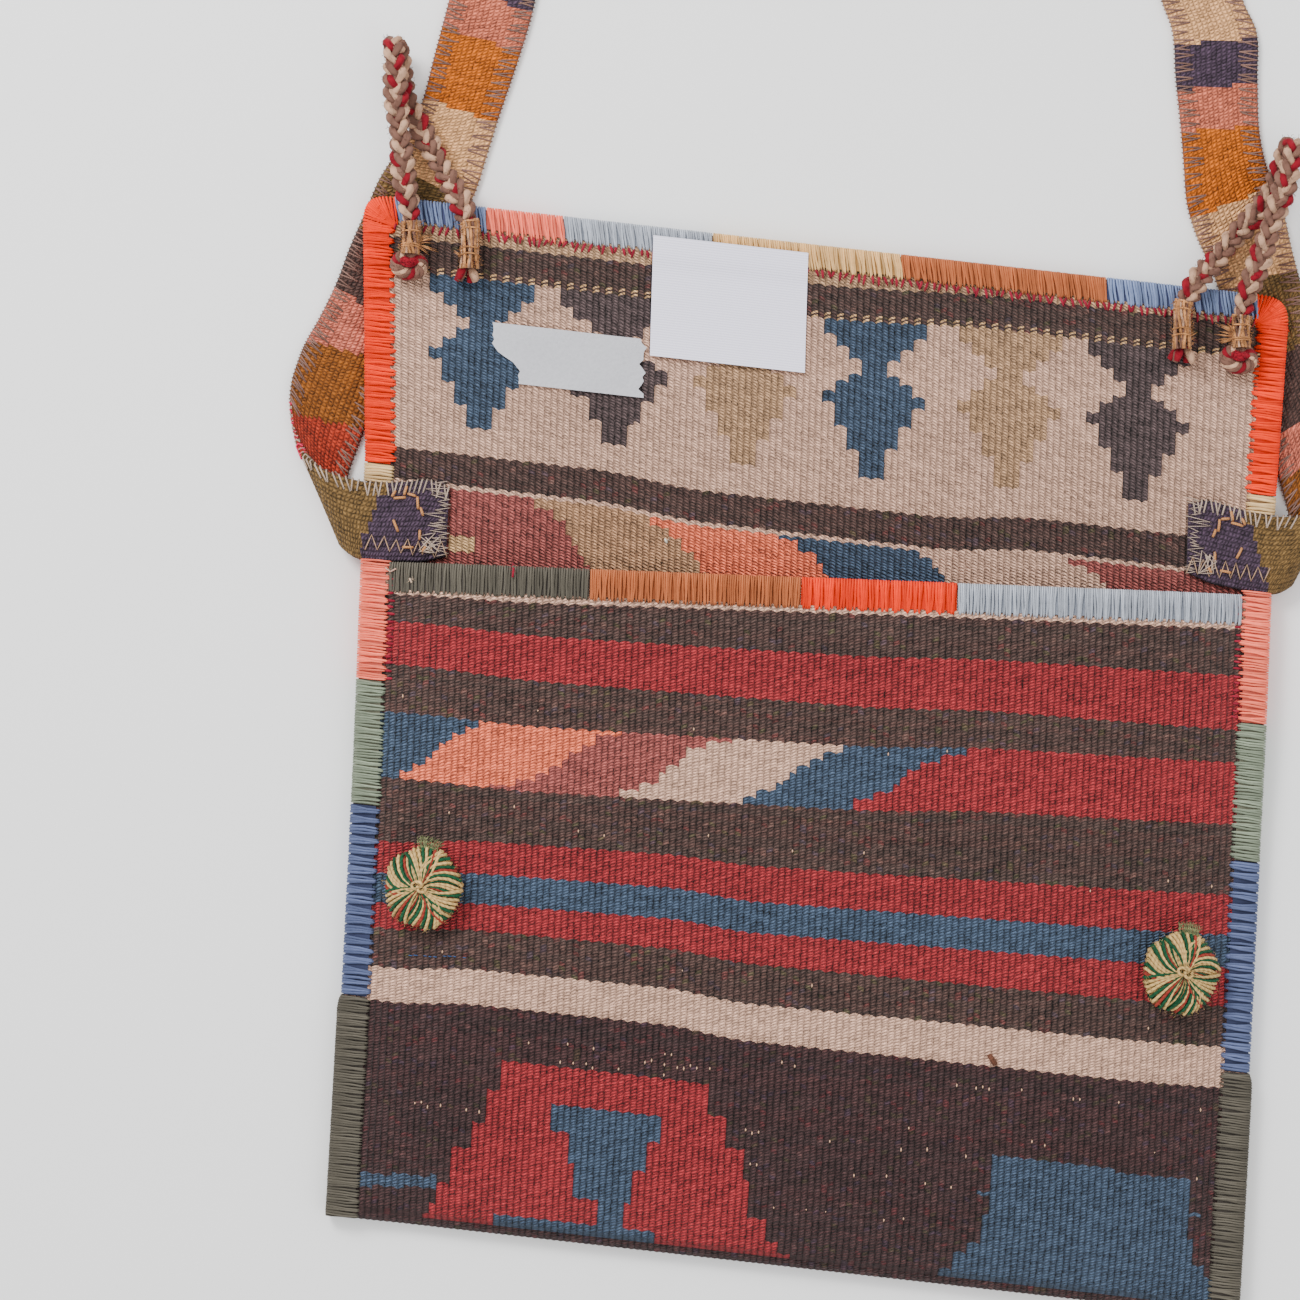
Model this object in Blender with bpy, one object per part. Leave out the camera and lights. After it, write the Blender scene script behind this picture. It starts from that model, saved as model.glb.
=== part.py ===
"""Kilim shoulder bag, laid flat on its back with its flap folded open.

Units are metres. The bag lies on the floor at Z = 0, X runs along its bottom fold and Y
runs up the bag, over the pouch and the open flap, towards the shoulder strap. The origin
is the middle of the flat underside of the pouch.

Most places are given by three numbers. The first is the offset a from the bag's middle
line, the second is the height h above the bottom fold, measured up the bag as it lies,
and the third is the height z above the floor.
"""
import math

import bmesh
import bpy
from mathutils import Matrix, Vector

MM = 0.001

# Bag
BAG_WIDTH = 0.352
POUCH_HEIGHT_LEFT = 0.2525
POUCH_HEIGHT_RIGHT = 0.2785
FLAP_LENGTH = 0.115
LEAN_AT_MOUTH = 0.016
LEAN_AT_TOP = 0.0273

# Woven cloth
CLOTH = 0.0024
CLEARANCE = 0.0003
POUCH_GAP = 0.012
FOLD_GAP = 0.003
SIDE_RISE = 0.045
FOLD_RISE = 0.035
FLAP_RAMP = 0.08
UNDERSIDE_CURL = 0.02

# Wool wrapped over the edges
BINDING_WALL = 0.001
BINDING_REACH = 0.011
BINDING_STEP = 0.012
BINDING_SHORTEST = 0.0005

# Shoulder strap
STRAP_WIDTH = 0.031
STRAP_THICK = 0.0024
STRAP_SEAT = 0.0025
STRAP_SIDE_GAP = 0.002
STRAP_ARCH = 0.3
STRAP_POINTS = 60
STRAP_STITCH_WIDTH = 0.004
STRAP_STITCH_THICK = 0.0008
STRAP_STITCH_MARGIN = 0.001

# Braided closure loops
CORD = 0.0104
KNOT_WIDTH = 0.0146
KNOT_LENGTH = 0.0104
WHIPPING_WALL = 0.0011
WHIPPING_SHORT = 0.006
WHIPPING_LONG = 0.012

# Wound buttons
BUTTON = 0.031
BUTTON_HEIGHT = 0.0075
BUTTON_KNOT = 0.006
BUTTON_KNOT_HEIGHT = 0.0024
BUTTON_INSET = 0.0315
BUTTON_RISE = 0.131
STALK = 0.008
STALK_HEIGHT = 0.0016

# Label and tape on the flap
LABEL_WIDTH = 0.06
LABEL_HEIGHT = 0.046
LABEL_THICK = 0.0004
LABEL_INSET = 0.109
LABEL_TOP = 0.004
TAPE_WIDTH = 0.06
TAPE_HEIGHT = 0.0225
TAPE_THICK = 0.0003
TAPE_DROP = 0.044
PATCH_GAP = 0.001
PATCH_STEP = 0.004

# Woven pattern
MOTIF_PITCH = 0.0508
MOTIF_START = 0.0189
MOTIF_COLUMNS = 10
COLUMN = MOTIF_PITCH / MOTIF_COLUMNS
MAX_ROW = 0.013
BAND_ROWS = 4
COARSE_COLUMNS = 5
MEDIUM_COLUMNS = 2
FOLD_STEPS = 6

YARNS = {
    "dark": (0.085, 0.048, 0.047),
    "red": (0.33, 0.044, 0.042),
    "maroon": (0.29, 0.075, 0.065),
    "blue": (0.055, 0.09, 0.13),
    "cream": (0.56, 0.40, 0.30),
    "tan": (0.38, 0.21, 0.13),
    "orange": (0.70, 0.20, 0.11),
    "salmon_wrap": (0.83, 0.30, 0.20),
    "orange_wrap": (0.92, 0.10, 0.015),
    "sage_wrap": (0.26, 0.30, 0.23),
    "blue_wrap": (0.13, 0.20, 0.38),
    "grey_green_wrap": (0.10, 0.11, 0.10),
    "pale_blue_wrap": (0.42, 0.46, 0.50),
    "gold_wrap": (0.60, 0.38, 0.12),
    "caramel_wrap": (0.46, 0.15, 0.05),
    "cream_wrap": (0.68, 0.50, 0.32),
    "band_cream": (0.62, 0.42, 0.28),
    "taupe": (0.28, 0.20, 0.18),
    "crimson": (0.45, 0.03, 0.06),
    "stitch": (0.66, 0.60, 0.52),
    "label_white": (0.78, 0.76, 0.86),
    "tape_grey": (0.62, 0.62, 0.66),
}
CLOTH_YARNS = ["dark", "red", "maroon", "blue", "cream", "tan", "orange"]
YARN_ROUGHNESS = 0.9

# Stripes of the front panel from the mouth down: yarn, width in mm at the left and right side
FRONT_STRIPES = [
    ("cream", 11.2, 12.3),
    ("dark", 10.0, 18.1),
    ("red", 16.2, 21.0),
    ("dark", 18.7, 12.2),
    ("front_band", 25.3, 23.7),
    ("dark", 4.0, 2.9),
    ("red", 1.5, 1.5),
    ("dark", 18.8, 22.8),
    ("red", 12.2, 15.6),
    ("blue", 11.3, 12.6),
    ("red", 9.3, 15.2),
    ("dark", 14.9, 15.5),
    ("cream", 12.9, 15.8),
    ("dark", 17.2, 20.0),
    ("hearth", 65.0, 65.0),
    ("dark", 3.0, 3.0),
]

# Stripes of the flap from its top edge down to the left mouth corner: yarn, width in mm
FLAP_STRIPES = [
    ("tan", 14.0),
    ("dark", 9.5),
    ("tan", 2.0),
    ("dark", 1.2),
    ("motifs", 57.4),
    ("cream", 10.6),
    ("dark", 12.0),
    ("cream", 1.6),
    ("flap_band", 42.2),
]

# Slanted colour fields: yarn, right-hand limit in mm from the side at the field's top and foot
FRONT_BAND = [
    ("blue", 52, 14),
    ("orange", 103, 55),
    ("maroon", 143, 101),
    ("cream", 192, 146),
    ("blue", 239, 185),
    ("red", 400, 400),
]
FLAP_BAND = [
    ("maroon", 70, 91),
    ("tan", 112, 132),
    ("orange", 164, 184),
    ("blue", 208, 228),
    ("cream", 272, 292),
    ("maroon", 400, 400),
]

# One motif of the flap, row by row from its top: row height in mm, half width in columns
MOTIF_ROWS = [
    (6.5, 4),
    (4.2, 3),
    (4.2, 2),
    (5.0, 1),
    (4.0, 2),
    (4.0, 3),
    (4.5, 4),
    (8.0, 3),
    (8.5, 2),
    (8.5, 1),
]
MOTIF_YARNS = ["blue", "dark", "tan"]

# The stepped hearth shape by the bottom fold, in mm: row height, outer left and right, inner left and right
HEARTH_ROWS = [
    (10, 63, 144, 0, 0),
    (8, 63, 150, 84, 126),
    (10, 58, 150, 84, 126),
    (10, 53, 155, 88, 119),
    (9, 48, 160, 93, 114),
    (9, 43, 165, 98, 112),
    (9, 38, 175, 84, 124),
]
HEARTH_PITCH = 197
HEARTH_YARNS = [("red", "blue"), ("blue", "red")]

# Wrapped yarn along the pouch sides from the bottom fold up: yarn, length in mm
SIDE_WRAPS = [
    ("grey_green_wrap", 84),
    ("blue_wrap", 72),
    ("sage_wrap", 47),
    ("salmon_wrap", 44),
]
CREAM_WRAP_LENGTH = 0.0055

# Wrapped yarn along the flap's top edge and the mouth, from the left: yarn, length in mm
TOP_WRAPS = [
    ("blue_wrap", 33),
    ("salmon_wrap", 30),
    ("pale_blue_wrap", 58),
    ("gold_wrap", 73),
    ("caramel_wrap", 80),
    ("blue_wrap", 56),
]
MOUTH_WRAPS = [
    ("grey_green_wrap", 78),
    ("caramel_wrap", 81),
    ("orange_wrap", 60),
    ("pale_blue_wrap", 111),
]

# Cross lines of the sewn strap end, each by its lower and upper end: inset from the bag's side and
# rise above the strap's seat, in mm, drawn for a strap of the width named here
STRAP_DRAWN_WIDTH = 0.03
STRAP_SEWN_LINES = [
    ((33, 1), (31, 31)),
    ((16, 0.5), (14, 30.5)),
    ((0, 0), (-1, 30.6)),
    ((-8, 5.5), (-12, 32)),
]
STRAP_FOLD_LINE = ((-7.7, 15.9), (-25.7, 49.0))
STRAP_FOLD_ANGLES = (90, 60, 30, 0, -30, -60, -90)
# Strap under and past the flap: share of the way from fold to flap top, inset from the bag's side in mm
STRAP_LEG = [
    (0.18, -14.5),
    (0.39, -6.2),
    (0.67, 7.3),
    (1.0, 23.4),
    (1.34, 30.9),
    (1.71, 36.4),
]
STRAP_ARCH_ANGLES = (25, 48, 70)

# Braided loop: inset from the bag's side, height above the flap's top edge, height above the floor, in mm
LOOP_ROUTE = [
    (15.7, -20.3, 13.4),
    (15.8, -12.5, 13.4),
    (14.6, -3.5, 13.8),
    (12.0, 6.5, 14.8),
    (8.8, 22.0, 16.4),
    (5.6, 37.0, 17.6),
    (3.6, 49.5, 18.0),
    (2.6, 55.6, 16.0),
    (2.6, 57.8, 11.8),
    (3.4, 55.2, 7.6),
    (5.6, 47.5, 5.9),
    (9.2, 37.5, 6.8),
    (15.4, 27.0, 8.3),
    (21.1, 19.2, 8.4),
    (27.1, 10.2, 9.4),
    (33.4, 1.6, 13.2),
    (37.4, -8.0, 13.5),
    (37.6, -16.0, 13.4),
    (37.6, -24.5, 13.4),
]
LOOP_POINTS = 44

SIDES = {"left": -1, "right": 1}


def clamp01(value):
    return max(0.0, min(1.0, value))


def ease(value):
    """Level at both ends, steepest half way."""
    t = clamp01(value)
    return t * t * (3 - 2 * t)


def swell(value):
    """Steep at first, then level: the way a slack panel leaves its bound edge."""
    t = clamp01(value)
    return 1 - (1 - t) ** 2


HALF_WIDTH = BAG_WIDTH / 2
EDGE = BINDING_WALL + CLEARANCE
CLOTH_HALF = HALF_WIDTH - EDGE
SIDE_FLAT = CLOTH_HALF - BINDING_REACH
EDGE_GAP = EDGE + CLEARANCE
TOP = POUCH_HEIGHT_RIGHT + FLAP_LENGTH
CLOTH_TOP = TOP - EDGE
ORIGIN_HEIGHT = POUCH_HEIGHT_LEFT / 2
FLAP_LIFT = STRAP_THICK + CLEARANCE + EDGE
FLAP_TOP_Z = FLAP_LIFT + CLOTH
BINDING_TOP_Z = FLAP_TOP_Z + EDGE
STRAP_TOP_Z = FLAP_TOP_Z + CLEARANCE + STRAP_THICK


def lean(h):
    """How far the bag's sides have drifted left at height h: a woven strip is never quite square."""
    h = min(h, TOP)
    bow = (LEAN_AT_TOP / TOP - LEAN_AT_MOUTH / POUCH_HEIGHT_LEFT) / (TOP - POUCH_HEIGHT_LEFT)
    return h * (LEAN_AT_MOUTH / POUCH_HEIGHT_LEFT + bow * (h - POUCH_HEIGHT_LEFT))


def place(a, h, z):
    """World point for an offset from the middle line, a height up the bag and a height off the floor."""
    return Vector((a + lean(ORIGIN_HEIGHT) - lean(h), h - ORIGIN_HEIGHT, z))


def mouth(a):
    """Height of the front panel's upper edge, which climbs a little from left to right."""
    share = (a + HALF_WIDTH) / BAG_WIDTH
    return POUCH_HEIGHT_LEFT + (POUCH_HEIGHT_RIGHT - POUCH_HEIGHT_LEFT) * share


def back_bottom(a, h):
    """Underside of the back panel: flat, curled up at its bound sides, raised where it lies on the strap."""
    ramp = ease((h - (POUCH_HEIGHT_LEFT - BINDING_REACH - FLAP_RAMP)) / FLAP_RAMP)
    curl = ease(1 - (SIDE_FLAT - abs(a)) / UNDERSIDE_CURL)
    return FLAP_LIFT * ramp + EDGE * curl * (1 - ramp)


def pouch_gap(a, h):
    """Slack between the back and the front panel."""
    across = swell((SIDE_FLAT - abs(a)) / SIDE_RISE)
    fold_gap = EDGE_GAP + (FOLD_GAP - EDGE_GAP) * across
    return fold_gap + (POUCH_GAP - fold_gap) * across * swell(h / FOLD_RISE)


def front_top(a, h):
    return back_bottom(a, h) + pouch_gap(a, h) + 2 * CLOTH


def upward(a, h):
    """Direction up the cloth at a point, along its leaning sides."""
    return (place(a, h, 0) - place(a, h - BINDING_REACH, 0)) / BINDING_REACH


def strap_seat(side):
    """Height of the mouth corner on one side, above which the strap is sewn."""
    return mouth(SIDES[side] * HALF_WIDTH)


def yarn_material(yarn):
    """One plain wool material per yarn colour, shared by all that is made of it."""
    material = bpy.data.materials.get(yarn)
    if material:
        return material
    material = bpy.data.materials.new(yarn)
    material.use_nodes = True
    shader = material.node_tree.nodes["Principled BSDF"]
    shader.inputs["Base Color"].default_value = (*YARNS[yarn], 1)
    shader.inputs["Roughness"].default_value = YARN_ROUGHNESS
    shader.inputs["Metallic"].default_value = 0
    return material


def add_object(name, mesh, yarns):
    """Link a mesh under its name, with one material slot per yarn."""
    for yarn in yarns:
        mesh.materials.append(yarn_material(yarn))
    piece = bpy.data.objects.new(name, mesh)
    bpy.context.scene.collection.objects.link(piece)
    return piece


def mesh_from(name, points, faces, smooth=True):
    mesh = bpy.data.meshes.new(name)
    mesh.from_pydata([tuple(p) for p in points], [], faces)
    work = bmesh.new()
    work.from_mesh(mesh)
    bmesh.ops.recalc_face_normals(work, faces=work.faces)
    work.to_mesh(mesh)
    work.free()
    if smooth:
        mesh.shade_smooth()
        mesh.set_sharp_from_angle(angle=math.radians(50))
    return mesh


def shares(widths):
    """Running share of the total after each width."""
    total = sum(widths)
    running = 0
    out = []
    for width in widths:
        running += width
        out.append(running / total)
    return out


def slanted_field(fields, across, down):
    """Yarn of a slanted band at a distance from its left side in mm and a share of the way down it."""
    for yarn, top, foot in fields:
        if across < top + (foot - top) * down:
            return yarn
    return fields[-1][0]


def motif_yarn(across, half_columns):
    """Yarn at a distance from the bag's left side in one row of the flap's motifs."""
    cell = (across - MOTIF_START) / MOTIF_PITCH
    number = math.floor(cell)
    if number < 0 or (number + 1) * MOTIF_PITCH > BAG_WIDTH - MOTIF_START:
        return "cream"
    off_centre = abs(cell - number - 0.5) * MOTIF_COLUMNS
    return MOTIF_YARNS[number % len(MOTIF_YARNS)] if off_centre < half_columns else "cream"


def hearth_yarn(across, row):
    """Yarn at a distance from the left side, in mm, in one row of the stepped shapes by the fold."""
    number = int(across // HEARTH_PITCH)
    outer, inner = HEARTH_YARNS[number % 2]
    x = across - number * HEARTH_PITCH
    _, left, right, inner_left, inner_right = row
    if inner_left < x < inner_right:
        return inner
    return outer if left < x < right else "dark"


def column_lines():
    """Offsets of the woven pattern's upright lines, from the left edge of the cloth to the right."""
    start = -HALF_WIDTH + MOTIF_START
    before = math.floor((start + SIDE_FLAT) / COLUMN - 0.5)
    inner = []
    a = start - before * COLUMN
    while a < SIDE_FLAT - COLUMN / 2:
        inner.append(a)
        a += COLUMN
    return [-CLOTH_HALF, -SIDE_FLAT, *inner, SIDE_FLAT, CLOTH_HALF]


def front_rows():
    """Rows of the front panel from the mouth down: end share at left and right, kind, columns per cell."""
    lefts = shares([left for _, left, _ in FRONT_STRIPES])
    rights = shares([right for _, _, right in FRONT_STRIPES])
    rows = []
    before = (0.0, 0.0)
    for (kind, height, _), left, right in zip(FRONT_STRIPES, lefts, rights):
        parts = [1] * math.ceil(height * MM / MAX_ROW)
        if kind == "hearth":
            parts = [row[0] for row in HEARTH_ROWS]
        if kind == "front_band":
            parts = [1] * BAND_ROWS
        for number, part in enumerate(shares(parts)):
            end = (before[0] + (left - before[0]) * part, before[1] + (right - before[1]) * part)
            step = {"hearth": 1, "front_band": MEDIUM_COLUMNS}.get(kind, COARSE_COLUMNS)
            rows.append((end, (kind, number, len(parts)), step))
        before = (left, right)
    return rows


def flap_rows():
    """Rows of the flap from its top edge down to the left mouth corner."""
    stack = CLOTH_TOP - POUCH_HEIGHT_LEFT + BINDING_REACH
    rows = []
    before = 0.0
    for (kind, _), end in zip(FLAP_STRIPES, shares([width for _, width in FLAP_STRIPES])):
        parts = [row[0] for row in MOTIF_ROWS] if kind == "motifs" else [1]
        if kind == "flap_band":
            parts = [1] * BAND_ROWS
        step = {"motifs": 1, "flap_band": MEDIUM_COLUMNS}.get(kind, COARSE_COLUMNS)
        for number, part in enumerate(shares(parts)):
            share = before + (end - before) * part
            rows.append((CLOTH_TOP - stack * share, (kind, number, len(parts)), step))
        before = end
    return rows


def cell_yarn(kind, a, share_down):
    """Yarn of one cell of the cloth, by its row's kind and its share of the way down the stripe."""
    name, number, _ = kind
    across = a + HALF_WIDTH
    if name == "front_band":
        return slanted_field(FRONT_BAND, across / MM, share_down)
    if name == "flap_band":
        return slanted_field(FLAP_BAND, across / MM, share_down)
    if name == "motifs":
        return motif_yarn(across, MOTIF_ROWS[number][1])
    if name == "hearth":
        return hearth_yarn(across / MM, HEARTH_ROWS[number])
    return name


def kilim_stations():
    """Cross sections of the folded strip, from the mouth edge of the front panel to the flap's top edge.

    Each is a function giving the outer and the inner point at an offset, with the kind and the
    column steps of the row that follows it, outer first.
    """
    stations = []

    def front(end):
        def points(a):
            share = (a + HALF_WIDTH) / BAG_WIDTH
            rim = mouth(a) - EDGE
            h = rim * (1 - (end[0] + (end[1] - end[0]) * share))
            h = max(h, fold_radius(a))
            z = front_top(a, h)
            return place(a, h, z), place(a, h, z - CLOTH)
        return points

    def fold_radius(a):
        return CLOTH + pouch_gap(a, 0) / 2

    def fold(angle):
        def points(a):
            radius = fold_radius(a)
            low = back_bottom(a, 0)
            turn = math.radians(angle)

            def at(r):
                return place(a, radius - r * math.cos(turn), low + radius + r * math.sin(turn))
            return at(radius), at(radius - CLOTH)
        return points

    def back(h):
        def points(a):
            z = back_bottom(a, h)
            return place(a, h, z), place(a, h, z + CLOTH)
        return points

    rows = front_rows()
    ends = [(0.0, 0.0)] + [end for end, _, _ in rows[:-1]]
    for end, (_, kind, step) in zip(ends, rows):
        at_rim = end[0] * POUCH_HEIGHT_LEFT < BINDING_REACH
        inner_step = MEDIUM_COLUMNS if at_rim else COARSE_COLUMNS
        stations.append((front(end), kind, min(step, inner_step), inner_step))
    for number in range(FOLD_STEPS + 1):
        angle = 90 - 180 * number / FOLD_STEPS
        stations.append((fold(angle), ("dark", 0, 1), COARSE_COLUMNS, COARSE_COLUMNS))
    flap = flap_rows()[::-1]
    foot = flap[0][0]
    count = math.ceil(foot / (1.5 * MAX_ROW))
    for number in range(1, count):
        stations.append((back(foot * number / count), ("dark", 0, 1), COARSE_COLUMNS, COARSE_COLUMNS))
    for h, kind, step in flap:
        stations.append((back(h), kind, COARSE_COLUMNS, step))
    stations.append((back(CLOTH_TOP), None, COARSE_COLUMNS, COARSE_COLUMNS))
    return stations


def cell_columns(last, *steps):
    """Column numbers where cells of these widths meet; the bound sides always have a line of their own."""
    wanted = {0, 1, last - 1, last}
    for step in steps:
        wanted.update(range(0, last, step))
    return sorted(wanted)


def kilim_body():
    """One woven strip: the front panel, the bottom fold, the back panel and the flap."""
    lines = column_lines()
    last = len(lines) - 1
    stations = kilim_stations()
    points = []
    rings = []
    for number, (section, _, outer_step, inner_step) in enumerate(stations):
        _, _, outer_before, inner_before = stations[max(number - 1, 0)]
        pair = []
        for layer, columns in enumerate((cell_columns(last, outer_step, outer_before),
                                         cell_columns(last, inner_step, inner_before))):
            ring = {}
            for column in columns:
                ring[column] = len(points)
                points.append(section(lines[column])[layer])
            pair.append(ring)
        rings.append(pair)
    pouch_rows = len(front_rows()) + FOLD_STEPS
    faces = []
    colours = []

    def between(ring, low, high):
        return [ring[column] for column in sorted(ring) if low <= column <= high]

    for number, (_, kind, outer_step, inner_step) in enumerate(stations[:-1]):
        for layer, step in enumerate((outer_step, inner_step)):
            here = rings[number][layer]
            there = rings[number + 1][layer]
            cells = cell_columns(last, step)
            for low, high in zip(cells, cells[1:]):
                faces.append(between(here, low, high) + between(there, low, high)[::-1])
                middle = (lines[low] + lines[high]) / 2
                share_down = (kind[1] + 0.5) / kind[2]
                inside_pouch = layer == 1 and number < pouch_rows
                colours.append("dark" if inside_pouch else cell_yarn(kind, middle, share_down))
    for number in range(len(stations) - 1):
        for side in (0, last):
            outer, inner = rings[number]
            next_outer, next_inner = rings[number + 1]
            faces.append([outer[side], next_outer[side], next_inner[side], inner[side]])
            colours.append("dark")
    for outer, inner in (rings[0], rings[-1]):
        cells = sorted(set(outer) & set(inner))
        for low, high in zip(cells, cells[1:]):
            faces.append(between(outer, low, high) + between(inner, low, high)[::-1])
            colours.append("tan")
    mesh = mesh_from("kilim_body", points, faces)
    for face, colour in zip(mesh.polygons, colours):
        face.material_index = CLOTH_YARNS.index(colour)
    add_object("kilim_body", mesh, CLOTH_YARNS)


def channel(name, yarn, stations):
    """Yarn wrapped over an edge: a U-shaped section swept along it, open towards the cloth.

    A station holds the point on the cloth's edge, the outward direction in the plane, the
    lowest and the highest cloth face there.
    """
    arc = [math.radians(angle) for angle in (90, 50, 20, -20, -50, -90)]
    rings = []
    for edge, outward, low, high in stations:
        slot_low = low - CLEARANCE
        slot_high = high + CLEARANCE
        middle = (slot_low + slot_high) / 2
        half = (slot_high - slot_low) / 2 + BINDING_WALL
        lip = EDGE - BINDING_REACH
        section = [(CLEARANCE + BINDING_WALL * math.cos(t), middle + half * math.sin(t)) for t in arc]
        section += [(lip, middle - half), (lip, slot_low), (CLEARANCE, slot_low)]
        section += [(CLEARANCE, slot_high), (lip, slot_high), (lip, middle + half)]
        rings.append([Vector((edge.x + outward.x * reach, edge.y + outward.y * reach, z))
                      for reach, z in section])
    count = len(rings[0])
    points = [point for ring in rings for point in ring]
    faces = [list(range(count))[::-1], [(len(rings) - 1) * count + k for k in range(count)]]
    for number in range(len(rings) - 1):
        for k in range(count):
            after = (k + 1) % count
            base = number * count
            faces.append([base + k, base + after, base + count + after, base + count + k])
    add_object(name, mesh_from(name, points, faces), [yarn])


def steps_between(start, end):
    """Evenly spaced values from start to end, no further apart than the binding's step."""
    count = max(1, math.ceil(abs(end - start) / BINDING_STEP))
    return [start + (end - start) * k / count for k in range(count + 1)]


def side_station(side, h):
    """Cloth edge at one side: both panels of the pouch, or the flap alone above the mouth."""
    sign = SIDES[side]
    a = sign * CLOTH_HALF
    low = back_bottom(a, h)
    double = front_top(a, h)
    single = low + CLOTH
    fall = ease((h - strap_seat(side)) / (STRAP_SEAT / 2))
    return place(a, h, 0), Vector((sign, 0)), low, double + (single - double) * fall


def wrap_name(place_name, yarn):
    return f"binding_{place_name}_{yarn.removesuffix('_wrap')}"


def side_bindings(side):
    """Wraps in several colours up one side: four on the pouch and two on the flap."""
    seat = strap_seat(side)
    ends = [seat * share for share in shares([length for _, length in SIDE_WRAPS])]
    ends[-1] = seat + STRAP_SEAT - CLEARANCE
    start = fold_clear()
    for (yarn, _), end in zip(SIDE_WRAPS, ends):
        run = steps_between(start, end - CLEARANCE)
        if run[-1] > seat:
            run = [h for h in run if h < seat - CLEARANCE] + steps_between(seat, run[-1])
        channel(wrap_name(side, yarn), yarn, [side_station(side, h) for h in run])
        start = end
    start = seat + STRAP_SEAT + STRAP_WIDTH + STRAP_SIDE_GAP
    end = start + CREAM_WRAP_LENGTH
    cream_run = steps_between(start, end - CLEARANCE)
    channel(wrap_name(side, "cream_wrap"), "cream_wrap", [side_station(side, h) for h in cream_run])
    orange_run = steps_between(end, TOP)
    channel(wrap_name(side, "orange_wrap"), "orange_wrap", [side_station(side, h) for h in orange_run])


def fold_clear():
    """Lowest height of the side wraps: where the bottom fold has turned into flat panels."""
    return CLOTH + EDGE_GAP / 2


def edge_run(wraps):
    """Start and end offset of each wrap between the two side bindings."""
    start = -HALF_WIDTH + BINDING_REACH + CLEARANCE
    length = -2 * start
    runs = []
    before = start
    for (yarn, _), share in zip(wraps, shares([width for _, width in wraps])):
        end = start + length * share
        runs.append((yarn, before, end - CLEARANCE))
        before = end
    return runs


def edge_offsets(start, end):
    """Offsets for the stations of a wrap: its two ends, and the cloth's own lines between them."""
    lines = column_lines()
    inner = [lines[column] for column in cell_columns(len(lines) - 1, MEDIUM_COLUMNS)]
    return [start] + [a for a in inner if start + BINDING_SHORTEST < a < end - BINDING_SHORTEST] + [end]


def top_bindings():
    """Wraps along the flap's top edge."""
    for number, (yarn, start, end) in enumerate(edge_run(TOP_WRAPS), 1):
        stations = []
        for a in edge_offsets(start, end):
            low = back_bottom(a, CLOTH_TOP)
            stations.append((place(a, CLOTH_TOP, 0), upward(a, CLOTH_TOP), low, low + CLOTH))
        channel(wrap_name(f"top_{number}", yarn), yarn, stations)


def mouth_bindings():
    """Wraps along the front panel's upper edge."""
    for number, (yarn, start, end) in enumerate(edge_run(MOUTH_WRAPS), 1):
        stations = []
        for a in edge_offsets(start, end):
            h = mouth(a) - EDGE
            high = front_top(a, h)
            stations.append((place(a, h, 0), upward(a, h), high - CLOTH, high))
        channel(wrap_name(f"mouth_{number}", yarn), yarn, stations)


def smooth_route(points, count):
    """Evenly spaced points along a smooth curve through the given ones."""
    padded = [points[0] * 2 - points[1]] + points + [points[-1] * 2 - points[-2]]
    fine = []
    for number in range(1, len(padded) - 2):
        p0, p1, p2, p3 = padded[number - 1:number + 3]
        for k in range(24):
            t = k / 24
            fine.append(0.5 * (2 * p1 + (p2 - p0) * t + (2 * p0 - 5 * p1 + 4 * p2 - p3) * t * t
                               + (3 * p1 - p0 - 3 * p2 + p3) * t ** 3))
    fine.append(padded[-2])
    lengths = [0.0]
    for before, after in zip(fine, fine[1:]):
        lengths.append(lengths[-1] + (after - before).length)
    out = []
    at = 0
    for k in range(count):
        target = lengths[-1] * k / (count - 1)
        while at < len(fine) - 2 and lengths[at + 1] < target:
            at += 1
        part = (target - lengths[at]) / (lengths[at + 1] - lengths[at])
        out.append(fine[at].lerp(fine[at + 1], clamp01(part)))
    return out


def strap_half(side):
    """Cross lines of the strap from its sewn end to its folded edge, as pairs of 3-D points."""
    sign = SIDES[side]
    seat = strap_seat(side)
    stretch = STRAP_WIDTH / STRAP_DRAWN_WIDTH
    top_z = FLAP_TOP_Z + CLEARANCE + STRAP_THICK / 2
    low_z = STRAP_THICK / 2
    radius = (top_z - low_z) / 2

    def at(spot, z, push=0.0):
        inset = spot[0] * MM
        rise = STRAP_SEAT + spot[1] * MM * stretch
        outward = Vector(STRAP_FOLD_LINE[1]) - Vector(STRAP_FOLD_LINE[0])
        outward = Vector((-outward.y, outward.x)).normalized()
        a = sign * (HALF_WIDTH - inset - push * outward.x)
        return place(a, seat + rise + push * outward.y, z)

    lines = [(at(low, top_z), at(high, top_z)) for low, high in STRAP_SEWN_LINES]
    for angle in STRAP_FOLD_ANGLES:
        turn = math.radians(angle)
        push = radius * math.cos(turn)
        z = low_z + radius + radius * math.sin(turn)
        lines.append((at(STRAP_FOLD_LINE[0], z, push), at(STRAP_FOLD_LINE[1], z, push)))
    return lines


def strap_leg_points(side):
    """Middle of the strap from its fold, under the flap and out past its top edge."""
    sign = SIDES[side]
    fold = strap_seat(side) + STRAP_SEAT + STRAP_WIDTH
    return [place(sign * (HALF_WIDTH - inset * MM), fold + (TOP - fold) * share, STRAP_THICK / 2)
            for share, inset in STRAP_LEG]


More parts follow.
